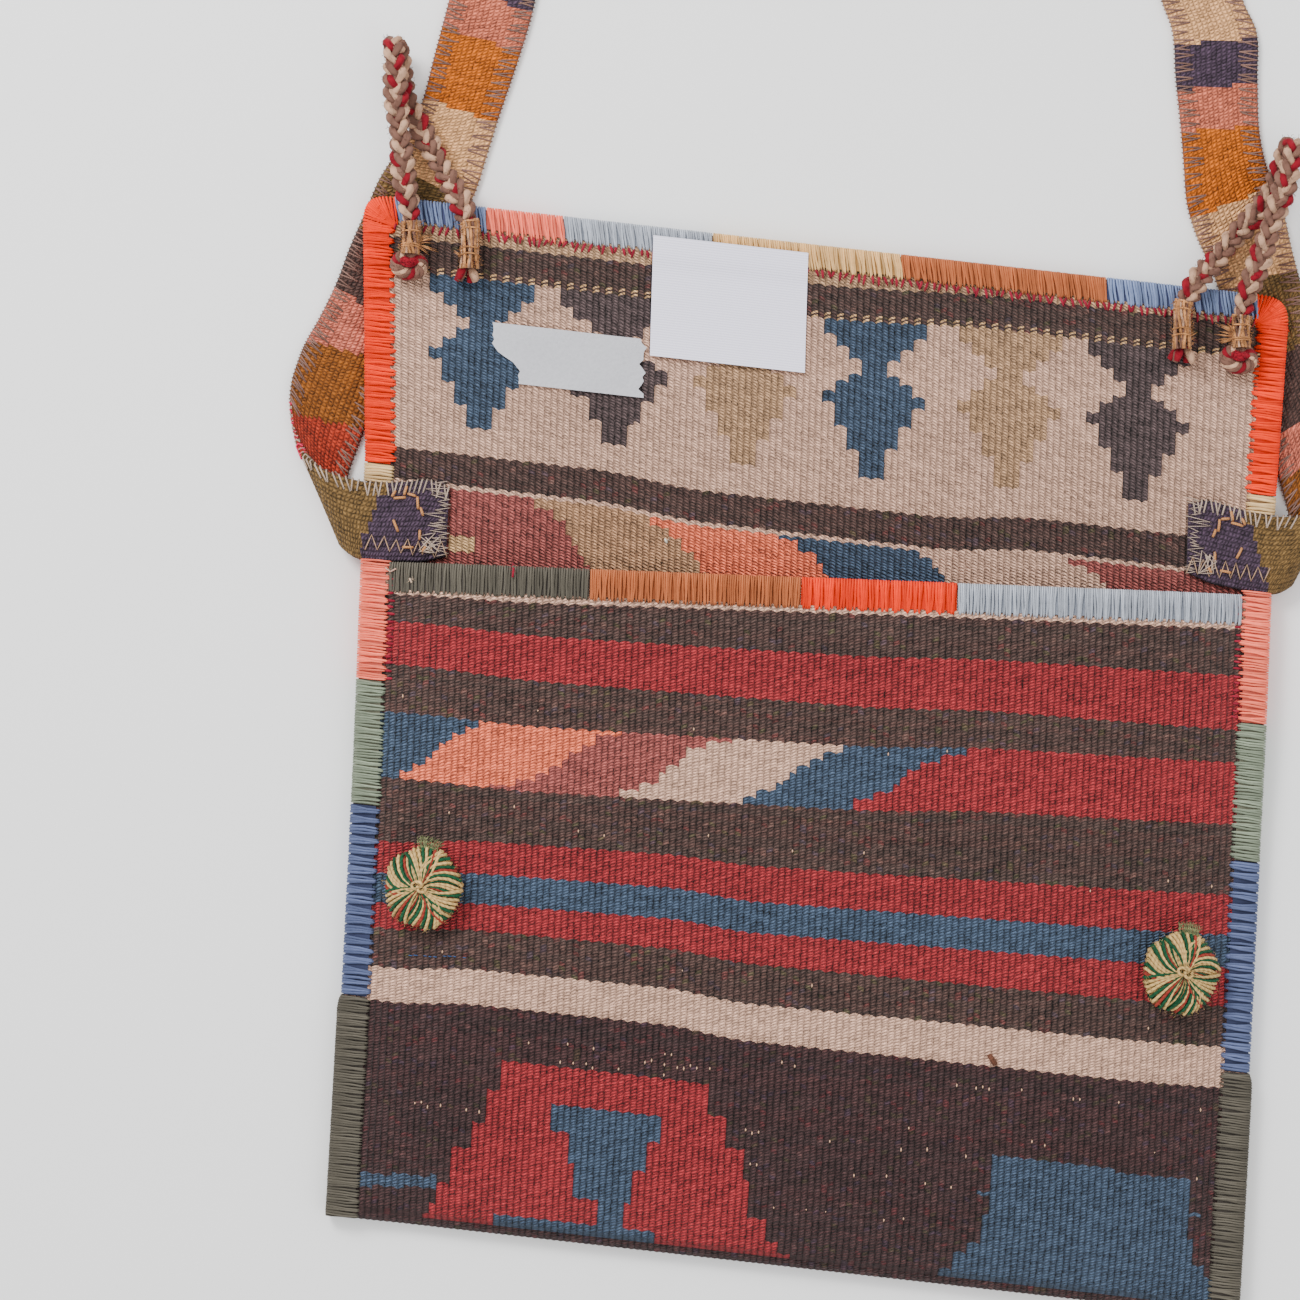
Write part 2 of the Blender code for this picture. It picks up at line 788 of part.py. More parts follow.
def strap_band():
    """The whole strap: sewn ends, folds, legs under the flap and the arch that goes over the shoulder."""
    left = strap_leg_points("left")
    right = strap_leg_points("right")
    foot = (left[-1] + right[-1]) / 2
    half = (right[-1] - left[-1]) / 2
    rise = TOP + STRAP_ARCH - STRAP_WIDTH / 2 - ORIGIN_HEIGHT - foot.y
    arch = []
    for angle in [*STRAP_ARCH_ANGLES, 90, *[180 - angle for angle in STRAP_ARCH_ANGLES[::-1]]]:
        turn = math.radians(angle)
        arch.append(foot - half * math.cos(turn) + Vector((0, rise * math.sin(turn), 0)))
    route = smooth_route(left + arch + right[::-1], STRAP_POINTS)
    lines = strap_half("left")
    for before, here, after in zip([route[0]] + route[:-1], route, route[1:] + [route[-1]]):
        along = (after - before).normalized()
        inward = Vector((along.y, -along.x, 0)) * STRAP_WIDTH / 2
        lines.append((here + inward, here - inward))
    lines += strap_half("right")[::-1]
    return lines


def band(name, yarn, lines, thick):
    """A flat band through cross lines, thickened evenly on both sides."""
    middles = [(low + high) / 2 for low, high in lines]
    points = []
    for number, (low, high) in enumerate(lines):
        before = middles[max(number - 1, 0)]
        after = middles[min(number + 1, len(middles) - 1)]
        normal = (high - low).cross(after - before).normalized() * thick / 2
        points += [low + normal, high + normal, high - normal, low - normal]
    faces = [[0, 3, 2, 1], [len(points) - 4 + k for k in range(4)]]
    for base in range(0, len(points) - 4, 4):
        for k in range(4):
            after = (k + 1) % 4
            faces.append([base + k, base + after, base + 4 + after, base + 4 + k])
    return add_object(name, mesh_from(name, points, faces), [yarn])


def strap_stitching(side):
    """Thread tacked over the strap's sewn end, round its three free sides."""
    sign = SIDES[side]
    seat = strap_seat(side) + STRAP_SEAT
    inner = STRAP_STITCH_WIDTH
    strap_inset = STRAP_SEWN_LINES[0][0][0] * MM
    outer_end = strap_inset - 2 * STRAP_STITCH_MARGIN
    run = strap_inset / 2
    low = STRAP_STITCH_MARGIN
    high = STRAP_WIDTH - STRAP_STITCH_MARGIN
    outline = [
        (outer_end - run, low), (outer_end, low), (outer_end, high), (outer_end - run, high),
        (outer_end - run, high - inner), (outer_end - inner, high - inner),
        (outer_end - inner, low + inner), (outer_end - run, low + inner),
    ]
    floor_z = STRAP_TOP_Z + CLEARANCE
    points = [place(sign * (HALF_WIDTH - inset), seat + rise, floor_z) for inset, rise in outline]
    points += [point + Vector((0, 0, STRAP_STITCH_THICK)) for point in points]
    count = len(outline)
    faces = [list(range(count)), [count + k for k in range(count)][::-1]]
    faces += [[k, (k + 1) % count, count + (k + 1) % count, count + k] for k in range(count)]
    name = f"strap_stitching_{side}"
    add_object(name, mesh_from(name, points, faces, smooth=False), ["stitch"])


def loop_points(side):
    """Route of one braided loop: over the flap's edge, out past it, back under itself and home."""
    sign = SIDES[side]
    return [place(sign * (HALF_WIDTH - inset * MM), TOP + rise * MM, z * MM) for inset, rise, z in LOOP_ROUTE]


def loop_cord(side):
    """The braid as one plain round cord."""
    curve = bpy.data.curves.new(f"loop_{side}_cord", "CURVE")
    curve.dimensions = "3D"
    curve.bevel_depth = CORD / 2
    curve.bevel_resolution = 2
    curve.use_fill_caps = True
    route = smooth_route(loop_points(side), LOOP_POINTS)
    spline = curve.splines.new("POLY")
    spline.points.add(len(route) - 1)
    for point, spot in zip(spline.points, route):
        point.co = (*spot, 1)
    curve.materials.append(yarn_material("taupe"))
    piece = bpy.data.objects.new(curve.name, curve)
    bpy.context.scene.collection.objects.link(piece)


def turned(name, yarn, profile, segments=20):
    """A solid turned about its own Z from pairs of radius and height; a zero radius closes an end."""
    work = bmesh.new()
    path = [work.verts.new((radius, 0, z)) for radius, z in profile]
    edges = [work.edges.new(pair) for pair in zip(path, path[1:])]
    if profile[0][0] > 0:
        edges.append(work.edges.new((path[-1], path[0])))
    bmesh.ops.spin(work, geom=path + edges, cent=(0, 0, 0), axis=(0, 0, 1), angle=2 * math.pi,
                   steps=segments, use_merge=True)
    bmesh.ops.remove_doubles(work, verts=work.verts, dist=1e-6)
    bmesh.ops.recalc_face_normals(work, faces=work.faces)
    mesh = bpy.data.meshes.new(name)
    work.to_mesh(mesh)
    work.free()
    mesh.shade_smooth()
    mesh.set_sharp_from_angle(angle=math.radians(50))
    return add_object(name, mesh, [yarn])


def dome(radius, height, rings):
    """Profile of a flattened ball standing on its flat underside."""
    angles = [math.radians(-35 + 125 * k / rings) for k in range(rings + 1)]
    low = math.sin(angles[0])
    scale = height / (1 - low)
    out = [(0, 0)]
    out += [(radius * math.cos(t), (math.sin(t) - low) * scale) for t in angles[:-1]]
    out.append((0, height))
    return out


def ball(radius, rings):
    """Profile of a ball, from its lowest point to its highest."""
    angles = [math.radians(-90 + 180 * k / rings) for k in range(rings + 1)]
    profile = [(radius * math.cos(t), radius * math.sin(t)) for t in angles]
    profile[0] = (0, -radius)
    profile[-1] = (0, radius)
    return profile


def loop_ends(side):
    """What holds a loop to the flap: a knot, two yarn whippings and the tucked strand ends."""
    sign = SIDES[side]
    route = loop_points(side)
    seat_z = FLAP_TOP_Z + CLEARANCE
    ring_inner = CORD / 2 + CLEARANCE
    ring_outer = ring_inner + WHIPPING_WALL
    first, last = route[0], route[-1]
    knot = turned(f"loop_{side}_knot", "crimson", ball(1.0, 8), 16)
    flatten = Matrix.Diagonal((KNOT_WIDTH / 2, KNOT_LENGTH / 2, CORD / 2, 1))
    knot.data.transform(flatten)
    knot.location = (first.x, first.y - KNOT_LENGTH / 2 - 2 * CLEARANCE, seat_z + CORD / 2)
    ends = turned(f"loop_{side}_strand_ends", "crimson", ball(1.0, 6), 12)
    ends.data.transform(Matrix.Diagonal((CORD / 2, CORD / 4, CORD / 3, 1)))
    ends.location = (last.x, last.y - CORD / 4 - 2 * CLEARANCE, seat_z + CORD / 3)
    for label, point, ahead, length in (("short", first, route[1], WHIPPING_SHORT),
                                        ("long", last, route[-2], WHIPPING_LONG)):
        profile = [(ring_inner, 0), (ring_outer, 0), (ring_outer, length), (ring_inner, length)]
        ring = turned(f"loop_{side}_whipping_{label}", "tan", profile, 16)
        along = (ahead - point).normalized()
        ring.rotation_mode = "QUATERNION"
        ring.rotation_quaternion = along.to_track_quat("Z", "X")
        ring.location = point + along * 2 * CLEARANCE


def wound_button(side):
    """A yarn-wound button on its thread stalk, square to the front panel's slope."""
    sign = SIDES[side]
    a = sign * (HALF_WIDTH - BUTTON_INSET)
    h = BUTTON_RISE
    step = STALK / 2
    base = place(a, h, front_top(a, h))
    across = place(a + step, h, front_top(a + step, h)) - place(a - step, h, front_top(a - step, h))
    rising = place(a, h + step, front_top(a, h + step)) - place(a, h - step, front_top(a, h - step))
    normal = across.cross(rising).normalized()
    frame = bpy.data.objects.new(f"button_{side}_frame", None)
    bpy.context.scene.collection.objects.link(frame)
    frame.location = base
    frame.rotation_mode = "QUATERNION"
    frame.rotation_quaternion = normal.to_track_quat("Z", "Y")
    foot = 1.5 * CLEARANCE
    radius = STALK / 2
    stalk_profile = [(0, 0), (radius, 0), (radius, STALK_HEIGHT), (0, STALK_HEIGHT)]
    stalk = turned(f"button_{side}_stalk", "tan", stalk_profile, 12)
    stalk.parent = frame
    stalk.location = (0, 0, foot)
    top = turned(f"button_{side}", "cream", dome(BUTTON / 2, BUTTON_HEIGHT, 6), 24)
    top.parent = frame
    top.location = (0, 0, foot + STALK_HEIGHT + CLEARANCE)
    knot = turned(f"button_{side}_knot", "crimson", ball(1.0, 6), 12)
    knot.data.transform(Matrix.Diagonal((BUTTON_KNOT / 2, BUTTON_KNOT / 2, BUTTON_KNOT_HEIGHT / 2, 1)))
    knot.parent = frame
    knot.location = (0, 0, foot + STALK_HEIGHT + BUTTON_HEIGHT + 2 * CLEARANCE + BUTTON_KNOT_HEIGHT / 2)


def flat_patch(name, yarn, left, width, top, height, thick):
    """A thin patch on the flap, stepping up onto the top binding where it reaches that far."""
    rim = TOP - BINDING_REACH
    high_z = BINDING_TOP_Z + CLEARANCE
    low_z = FLAP_TOP_Z + CLEARANCE
    heights = [top, top - height]
    shelf = rim - PATCH_GAP
    if top > rim:
        heights = [top, shelf, shelf - PATCH_STEP, top - height]
    lines = []
    for h in heights:
        z = high_z if h >= shelf else low_z
        lines.append((place(left, h, z), place(left + width, h, z)))
    points = [point for line in lines for point in line]
    count = len(points)
    points += [point + Vector((0, 0, thick)) for point in points]
    faces = []
    for k in range(0, count - 2, 2):
        faces.append([k, k + 1, k + 3, k + 2])
        faces.append([count + k, count + k + 2, count + k + 3, count + k + 1])
        faces.append([k, k + 2, count + k + 2, count + k])
        faces.append([k + 1, count + k + 1, count + k + 3, k + 3])
    faces.append([0, count, count + 1, 1])
    faces.append([count - 2, count - 1, 2 * count - 1, 2 * count - 2])
    add_object(name, mesh_from(name, points, faces, smooth=False), [yarn])


def patches():
    """A blank label near the flap's top edge and a torn strip of tape beside it."""
    left = -HALF_WIDTH + LABEL_INSET
    flat_patch("label", "label_white", left, LABEL_WIDTH, TOP - LABEL_TOP, LABEL_HEIGHT, LABEL_THICK)
    tape_left = left - TAPE_WIDTH - PATCH_GAP
    flat_patch("tape_strip", "tape_grey", tape_left, TAPE_WIDTH, TOP - TAPE_DROP, TAPE_HEIGHT, TAPE_THICK)


def clear_scene():
    for piece in list(bpy.data.objects):
        bpy.data.objects.remove(piece)


def build():
    clear_scene()
    kilim_body()
    top_bindings()
    mouth_bindings()
    band("strap", "band_cream", strap_band(), STRAP_THICK)
    for side in SIDES:
        side_bindings(side)
        strap_stitching(side)
        loop_cord(side)
        loop_ends(side)
        wound_button(side)
    patches()


build()
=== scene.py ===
import math
from collections import namedtuple

import bpy
import numpy as np
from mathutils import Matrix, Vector


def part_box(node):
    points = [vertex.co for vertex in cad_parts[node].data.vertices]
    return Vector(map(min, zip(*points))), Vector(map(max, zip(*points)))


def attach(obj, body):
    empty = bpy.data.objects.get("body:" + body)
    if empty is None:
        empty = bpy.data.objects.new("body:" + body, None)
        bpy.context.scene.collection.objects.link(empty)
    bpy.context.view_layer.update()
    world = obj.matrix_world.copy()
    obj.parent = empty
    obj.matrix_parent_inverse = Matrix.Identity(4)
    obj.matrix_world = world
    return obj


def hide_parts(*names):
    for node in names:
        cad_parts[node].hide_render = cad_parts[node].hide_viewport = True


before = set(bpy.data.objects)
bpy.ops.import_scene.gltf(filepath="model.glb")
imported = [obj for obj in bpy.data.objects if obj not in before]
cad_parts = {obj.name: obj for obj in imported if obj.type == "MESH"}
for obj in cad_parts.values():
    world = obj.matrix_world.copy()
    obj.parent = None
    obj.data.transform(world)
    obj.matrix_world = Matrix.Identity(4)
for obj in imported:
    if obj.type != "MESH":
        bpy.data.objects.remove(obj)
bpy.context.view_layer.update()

MM = 0.001
BODY = "root"
SEED = 7

# Bag, as the solids have it
BAG_WIDTH = 0.352
POUCH_HEIGHT_LEFT = 0.2525
POUCH_HEIGHT_RIGHT = 0.2785
FLAP_LENGTH = 0.115
LEAN_AT_MOUTH = 0.016
LEAN_AT_TOP = 0.0273
CLOTH = 0.0024
CLEARANCE = 0.0003
POUCH_GAP = 0.012
FOLD_GAP = 0.003
SIDE_RISE = 0.045
FOLD_RISE = 0.035
FLAP_RAMP = 0.08
UNDERSIDE_CURL = 0.02
BINDING_WALL = 0.001
BINDING_REACH = 0.011
STRAP_WIDTH = 0.031
STRAP_THICK = 0.0024
STRAP_SEAT = 0.0025
STRAP_SIDE_GAP = 0.002
STRAP_ARCH = 0.3
STRAP_POINTS = 60
CREAM_WRAP_LENGTH = 0.0055
BUTTON = 0.031
BUTTON_HEIGHT = 0.0075
BUTTON_INSET = 0.0315
BUTTON_RISE = 0.131
STALK = 0.008
STALK_HEIGHT = 0.0016

HALF_WIDTH = BAG_WIDTH / 2
EDGE = BINDING_WALL + CLEARANCE
CLOTH_HALF = HALF_WIDTH - EDGE
SIDE_FLAT = CLOTH_HALF - BINDING_REACH
EDGE_GAP = EDGE + CLEARANCE
FOLD_RADIUS = CLOTH + EDGE_GAP / 2
TOP = POUCH_HEIGHT_RIGHT + FLAP_LENGTH
CLOTH_TOP = TOP - EDGE
ORIGIN_HEIGHT = POUCH_HEIGHT_LEFT / 2
FLAP_LIFT = STRAP_THICK + CLEARANCE + EDGE
FLAP_TOP_Z = FLAP_LIFT + CLOTH
STRAP_TOP_Z = FLAP_TOP_Z + CLEARANCE + STRAP_THICK

SIDES = {"left": -1, "right": 1}

# Where the flap's sides start to spread, and how far they do at its top
FLARE_FROM = 0.293
FLARE = 0.004

# Camera: straight down, turned a little, with a long lens
VIEW_WIDTH = 0.5005
VIEW_CENTRE = (-0.07, 0.10455, 0.008)
VIEW_TURN = math.radians(6.45)
LENS = 100
SENSOR = 36

# Light from all round, then each lamp's name, place, width and power, and where they all aim
SKY = 1.22
LIGHTS = [
    ("key_light", (-0.85, 0.95, 1.15), 0.6, 27),
    ("fill_light", (0.9, -0.5, 1.3), 1.2, 5),
]
LIGHT_AIM = (0, 0.1, 0)
FLOOR_HALF = 3.0
FLOOR_DROP = 0.0002
FLOOR_GREY = 0.93
UP = np.array([0, 0, 1])

# Colours as an 8-bit screen shows them
YARN = {
    "dark": (80, 60, 55),
    "aubergine": (65, 45, 45),
    "red": (155, 45, 50),
    "maroon": (155, 80, 75),
    "blue": (65, 80, 100),
    "cream": (220, 175, 150),
    "tan_strip": (190, 150, 115),
    "chain_tan": (220, 175, 125),
    "tan": (185, 140, 105),
    "orange": (250, 120, 85),
    "brown": (85, 70, 70),
    "olive_tan": (185, 145, 110),
    "crimson": (140, 30, 50),
    "warp": (205, 165, 135),
    "trace": (50, 80, 125),
}


def linear(colour):
    """Scene-linear colour for an 8-bit screen colour."""
    share = np.asarray(colour, float) / 255
    return np.where(share <= 0.04045, share / 12.92, ((share + 0.055) / 1.055) ** 2.4)


def ease(value):
    t = np.clip(value, 0, 1)
    return t * t * (3 - 2 * t)


def swell(value):
    t = np.clip(value, 0, 1)
    return 1 - (1 - t) ** 2


def lean(h):
    h = np.minimum(h, TOP)
    bow = (LEAN_AT_TOP / TOP - LEAN_AT_MOUTH / POUCH_HEIGHT_LEFT) / (TOP - POUCH_HEIGHT_LEFT)
    return h * (LEAN_AT_MOUTH / POUCH_HEIGHT_LEFT + bow * (h - POUCH_HEIGHT_LEFT))


def place(a, h, z):
    """World points for offsets from the middle line, heights up the bag and heights off the floor."""
    a, h, z = np.broadcast_arrays(np.asarray(a, float), np.asarray(h, float), np.asarray(z, float))
    return np.stack([a + lean(ORIGIN_HEIGHT) - lean(h), h - ORIGIN_HEIGHT, z], axis=-1)


def flared(a, h):
    """Offset of the cloth's sides, which spread a little towards the top of the flap."""
    rise = np.clip((h - FLARE_FROM) / (TOP - FLARE_FROM), 0, 1)
    return a + np.sign(a) * FLARE * rise * ease((np.abs(a) / CLOTH_HALF - 0.8) / 0.2)


def cloth_place(a, h, z):
    """World points of the cloth, whose flap has rounded corners."""
    a, h = np.broadcast_arrays(np.asarray(a, float), np.asarray(h, float))
    u = np.clip((np.abs(a) - SIDE_FLAT) / BINDING_REACH, 0, 1)
    v = np.clip((h - CLOTH_TOP + BINDING_REACH) / BINDING_REACH, 0, 1)
    corner = (u > 0) & (v > 0)
    share = np.where(corner, np.maximum(u, v) / np.maximum((u ** 3 + v ** 3) ** (1 / 3), 1e-9), 1)
    a = np.where(corner, np.sign(a) * (SIDE_FLAT + u * share * BINDING_REACH), a)
    h = np.where(corner, CLOTH_TOP - BINDING_REACH + v * share * BINDING_REACH, h)
    return place(flared(a, h), h, z)


def mouth(a):
    share = (a + HALF_WIDTH) / BAG_WIDTH
    return POUCH_HEIGHT_LEFT + (POUCH_HEIGHT_RIGHT - POUCH_HEIGHT_LEFT) * share


def back_bottom(a, h):
    ramp = ease((h - (POUCH_HEIGHT_LEFT - BINDING_REACH - FLAP_RAMP)) / FLAP_RAMP)
    curl = ease(1 - (SIDE_FLAT - np.abs(a)) / UNDERSIDE_CURL)
    return FLAP_LIFT * ramp + EDGE * curl * (1 - ramp)


def pouch_gap(a, h):
    across = swell((SIDE_FLAT - np.abs(a)) / SIDE_RISE)
    fold_gap = EDGE_GAP + (FOLD_GAP - EDGE_GAP) * across
    return fold_gap + (POUCH_GAP - fold_gap) * across * swell(h / FOLD_RISE)


def front_top(a, h):
    return back_bottom(a, h) + pouch_gap(a, h) + 2 * CLOTH


def strap_seat(side):
    return mouth(SIDES[side] * HALF_WIDTH)


def unit(vectors):
    return vectors / np.maximum(np.linalg.norm(vectors, axis=-1, keepdims=True), 1e-12)


def smooth_through(x, knots, values):
    """Smooth curve through values at knots; values may have several columns."""
    knots = np.asarray(knots, float)
    values = np.asarray(values, float)
    x = np.asarray(x, float)
    slopes = np.gradient(values, knots, axis=0)
    k = np.clip(np.searchsorted(knots, x, side="right") - 1, 0, len(knots) - 2)
    width = knots[k + 1] - knots[k]
    t = (x - knots[k]) / width
    if values.ndim > 1:
        width = width[..., None]
        t = t[..., None]
    return ((2 * t ** 3 - 3 * t ** 2 + 1) * values[k] + (t ** 3 - 2 * t ** 2 + t) * width * slopes[k]
            + (3 * t ** 2 - 2 * t ** 3) * values[k + 1] + (t ** 3 - t ** 2) * width * slopes[k + 1])


def lengths_along(points):
    steps = np.linalg.norm(np.diff(points, axis=0), axis=1)
    return np.concatenate([[0], np.cumsum(steps)])


def directions(path):
    """Unit vectors along a path of points."""
    return unit(np.gradient(path, axis=0))


def resample(points, count):
    """Evenly spaced points along a smooth curve through the given ones."""
    points = np.asarray(points, float)
    rough = lengths_along(points)
    fine = smooth_through(np.linspace(0, rough[-1], 40 * len(points)), rough, points)
    run = lengths_along(fine)
    even = np.linspace(0, run[-1], count)
    return np.stack([np.interp(even, run, fine[:, axis]) for axis in range(3)], axis=1)


def shifted(points, *moves):
    """Points moved along directions, each by its own amount at every point."""
    for direction, amounts in moves:
        points = points + direction * amounts[:, None]
    return points


def toned(colour, random, low, spread):
    """Scene-linear colour times a random factor from low to low + spread."""
    return linear(colour) * (low + spread * random.random())


def jitter(random, spread):
    """A random step of up to half the spread either way."""
    return spread * (random.random() - 0.5)


def box_of(node):
    """Lower and upper corner of a CAD node's box."""
    low, high = (np.array(corner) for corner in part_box(node))
    return low, high


def linked(name, data):
    """A new object, linked to the scene."""
    thing = bpy.data.objects.new(name, data)
    bpy.context.scene.collection.objects.link(thing)
    return thing


# Camera, floor and light

def camera():
    data = bpy.data.cameras.new("camera")
    data.lens = LENS
    data.sensor_width = SENSOR
    view = linked("camera", data)
    x, y, z = VIEW_CENTRE
    view.location = (x, y, z + LENS * VIEW_WIDTH / SENSOR)
    view.rotation_euler = (0, 0, VIEW_TURN)
    bpy.context.scene.camera = view


def soft_light(name, spot, size, power):
    data = bpy.data.lights.new(name, "AREA")
    data.shape = "SQUARE"
    data.size = size
    data.energy = power
    light = linked(name, data)
    light.location = spot
    light.rotation_euler = (Vector(spot) - Vector(LIGHT_AIM)).to_track_quat("Z", "Y").to_euler()


def studio():
    world = bpy.data.worlds.new("studio")
    bpy.context.scene.world = world
    world.use_nodes = True
    back = world.node_tree.nodes["Background"]
    back.inputs["Color"].default_value = (1.0, 1.0, 1.0, 1)
    back.inputs["Strength"].default_value = SKY
    for light in LIGHTS:
        soft_light(*light)
    mesh = bpy.data.meshes.new("floor")
    corners = ((-1, -1), (1, -1), (1, 1), (-1, 1))
    mesh.from_pydata([(x * FLOOR_HALF, y * FLOOR_HALF, 0) for x, y in corners], [], [(0, 1, 2, 3)])
    mesh.materials.append(floor_material())
    floor = linked("floor", mesh)
    floor.location = (0, 0, -FLOOR_DROP)


# Materials

class Output:
    """A shader node's output, which can be reckoned with like a number."""

    def __init__(self, nodes, socket):
        self.nodes = nodes
        self.socket = socket

    def other(self, name):
        """Another output of the same node."""
        return Output(self.nodes, self.socket.node.outputs[name])

    def maths(self, operation, *others):
        return self.nodes.add("ShaderNodeMath", 0, enumerate((self, *others)), operation=operation)

    def __add__(self, other):
        return self.maths("ADD", other)

    def __sub__(self, other):
        return self.maths("SUBTRACT", other)

    def __rsub__(self, other):
        return self.nodes.add("ShaderNodeMath", 0, {0: other, 1: self}, operation="SUBTRACT")

    def __mul__(self, other):
        return self.maths("MULTIPLY", other)

    def __truediv__(self, other):
        return self.maths("DIVIDE", other)


class Nodes:
    """Short way to add shader nodes and join them."""

    def __init__(self, name):
        self.material = bpy.data.materials.new(name)
        self.material.use_nodes = True
        self.tree = self.material.node_tree
        self.shader = self.tree.nodes["Principled BSDF"]

    def add(self, kind, output=0, inputs=(), **settings):
        """One output of a new node, whose inputs are fed by numbers, colours or other outputs."""
        node = self.tree.nodes.new(kind)
        for key, value in settings.items():
            setattr(node, key, value)
        for key, source in dict(inputs).items():
            self.feed(source, node.inputs[key])
        return Output(self, node.outputs[output])

    def feed(self, source, target):
        if isinstance(source, Output):
            self.tree.links.new(source.socket, target)
        else:
            target.default_value = source

    def along_uv(self, name):
        """First coordinate of a UV map; the second is its other output, Y."""
        uv = self.add("ShaderNodeUVMap", "UV", uv_map=name)
        return self.add("ShaderNodeSeparateXYZ", "X", {0: uv})

    def noise(self, scale, detail):
        vector = self.add("ShaderNodeTexCoord", "Object")
        return self.add("ShaderNodeTexNoise", "Fac", {"Scale": scale, "Detail": detail, "Vector": vector})

    def yarn_colour(self):
        return self.add("ShaderNodeAttribute", "Color", attribute_name="yarn_colour")

    def paint(self, colour, tone):
        """Base colour: a colour made lighter or darker by a tone."""
        shade = self.add("ShaderNodeVectorMath", 0, {0: colour, "Scale": tone}, operation="SCALE")
        self.feed(shade, self.shader.inputs["Base Color"])

    def bump(self, height, distance):
        inputs = {"Distance": distance, "Strength": 1.0, "Height": height}
        normal = self.add("ShaderNodeBump", "Normal", inputs)
        self.feed(normal, self.shader.inputs["Normal"])

    def finish(self, roughness, sheen=0.0, specular=0.25):
        self.shader.inputs["Roughness"].default_value = roughness
        self.shader.inputs["Sheen Weight"].default_value = sheen
        self.shader.inputs["Specular IOR Level"].default_value = specular
        return self.material


def floor_material():
    nodes = Nodes("pale_floor")
    nodes.shader.inputs["Base Color"].default_value = (FLOOR_GREY, FLOOR_GREY, FLOOR_GREY, 1)
    return nodes.finish(0.9)


def weave_material(name, pick, depth, rib_shade, bead_shade):
    """Weft-faced weave: slanted beads of yarn over each warp rib, half a pick apart on neighbouring ribs,
    with painted shade in the valleys and gaps between them.
    """
    nodes = Nodes(name)
    rib = nodes.along_uv("weave")
    number = rib.maths("FLOOR")
    across = rib.maths("FRACT") * 2.0 - 1.0
    picks = rib.other("Y") / pick + number.maths("MODULO", 2.0) * 0.5 + nodes.noise(240.0, 1.0) * 1.2
    picks = picks + across * BEAD_SLANT
    along = picks.maths("FRACT") * 2.0 - 1.0
    # Painted shade: crest is 1 on a rib's crest and 0 in the valleys between ribs; bead is 1 in a bead's
    # middle and 0 in the gaps between beads
    crest = 1.0 - across * across
    bead = (1.0 - along * along) * crest
    cell = nodes.add("ShaderNodeCombineXYZ", 0, {"X": number, "Y": picks.maths("FLOOR")})
    speck = nodes.add("ShaderNodeTexWhiteNoise", "Value", {"Vector": cell}, noise_dimensions="2D")
    fuzz = nodes.noise(1300.0, 2.0)
    patch = nodes.noise(38.0, 3.0)
    # The crest and bead terms paint the tone lighter on rib crests and bead middles and darker in the valleys
    # and gaps, as painted light and shade; speck, fuzz and patch are the wool's own random tone
    tone = speck * 0.56 + 0.05 + crest * rib_shade + bead * bead_shade + (fuzz - 0.5) * 1.7 + (patch - 0.5) * 0.25
    tone = tone + (0.67 * (1 - rib_shade) - 0.444 * bead_shade)
    colour = nodes.yarn_colour()
    # Pale wool shows less contrast than dark wool, in its random tone and in its painted shade
    contrast = 1.25 - nodes.add("ShaderNodeRGBToBW", 0, {0: colour})
    nodes.paint(colour, (tone - 1.0) * contrast + 1.0)
    nodes.bump(bead * 1.6 + fuzz * 0.5, depth)
    return nodes.finish(0.92, 0.04)


def yarn_material(name, plies, twist, depth, roughness=0.8):
    """Spun yarn: plies that wind round it, with painted shade in the grooves between them, streaks of fibre
    and loose fuzz.
    """
    nodes = Nodes(name)
    way = nodes.along_uv("yarn")
    turn = way / twist + way.other("Y") * float(plies)
    ply = (turn * math.pi).maths("SINE").maths("ABSOLUTE")
    fuzz = nodes.noise(3000.0, 2.0)
    # Painted shade: ply is lighter in the middle of each ply and darker in the grooves between plies
    nodes.paint(nodes.yarn_colour(), ply * 0.30 + 0.52 + fuzz * 0.28 + nodes.noise(420.0, 3.0) * 0.36)
    nodes.bump(ply + fuzz * 0.6, depth)
    return nodes.finish(roughness, 0.05, 0.08)


# Mesh building

def mesh_object(name, points, faces, colours, uvs, uv_name, material):
    """Mesh from arrays: one colour for each face, one UV pair for each face corner."""
    mesh = bpy.data.meshes.new(name)
    mesh.from_pydata(np.asarray(points).tolist(), [], faces)
    sizes = np.array([len(face) for face in faces])
    flat = np.ones((sizes.sum(), 4), np.float32)
    flat[:, :3] = np.repeat(np.asarray(colours, np.float32), sizes, axis=0)
    attribute = mesh.color_attributes.new(name="yarn_colour", type="FLOAT_COLOR", domain="CORNER")
    attribute.data.foreach_set("color", flat.ravel())
    mesh.uv_layers.new(name=uv_name).data.foreach_set("uv", np.asarray(uvs, np.float32).ravel())
    mesh.materials.append(material)
    mesh.shade_smooth()
    return linked(name, mesh)


def quads(rows, width, base=0, closed=True):
    """Faces of a grid of points, row by row; the rows of a closed grid are rings."""
    for k in range(rows - 1):
        low = base + k * width
        for j in range(width if closed else width - 1):
            after = (j + 1) % width
            yield low + j, low + after, low + width + after, low + width + j


def dress(piece, slot, *nodes):
    """Ride on the bag and stand for CAD nodes; the slot is not used."""
    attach(piece, BODY)
    if nodes:
        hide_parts(*nodes)
    return piece


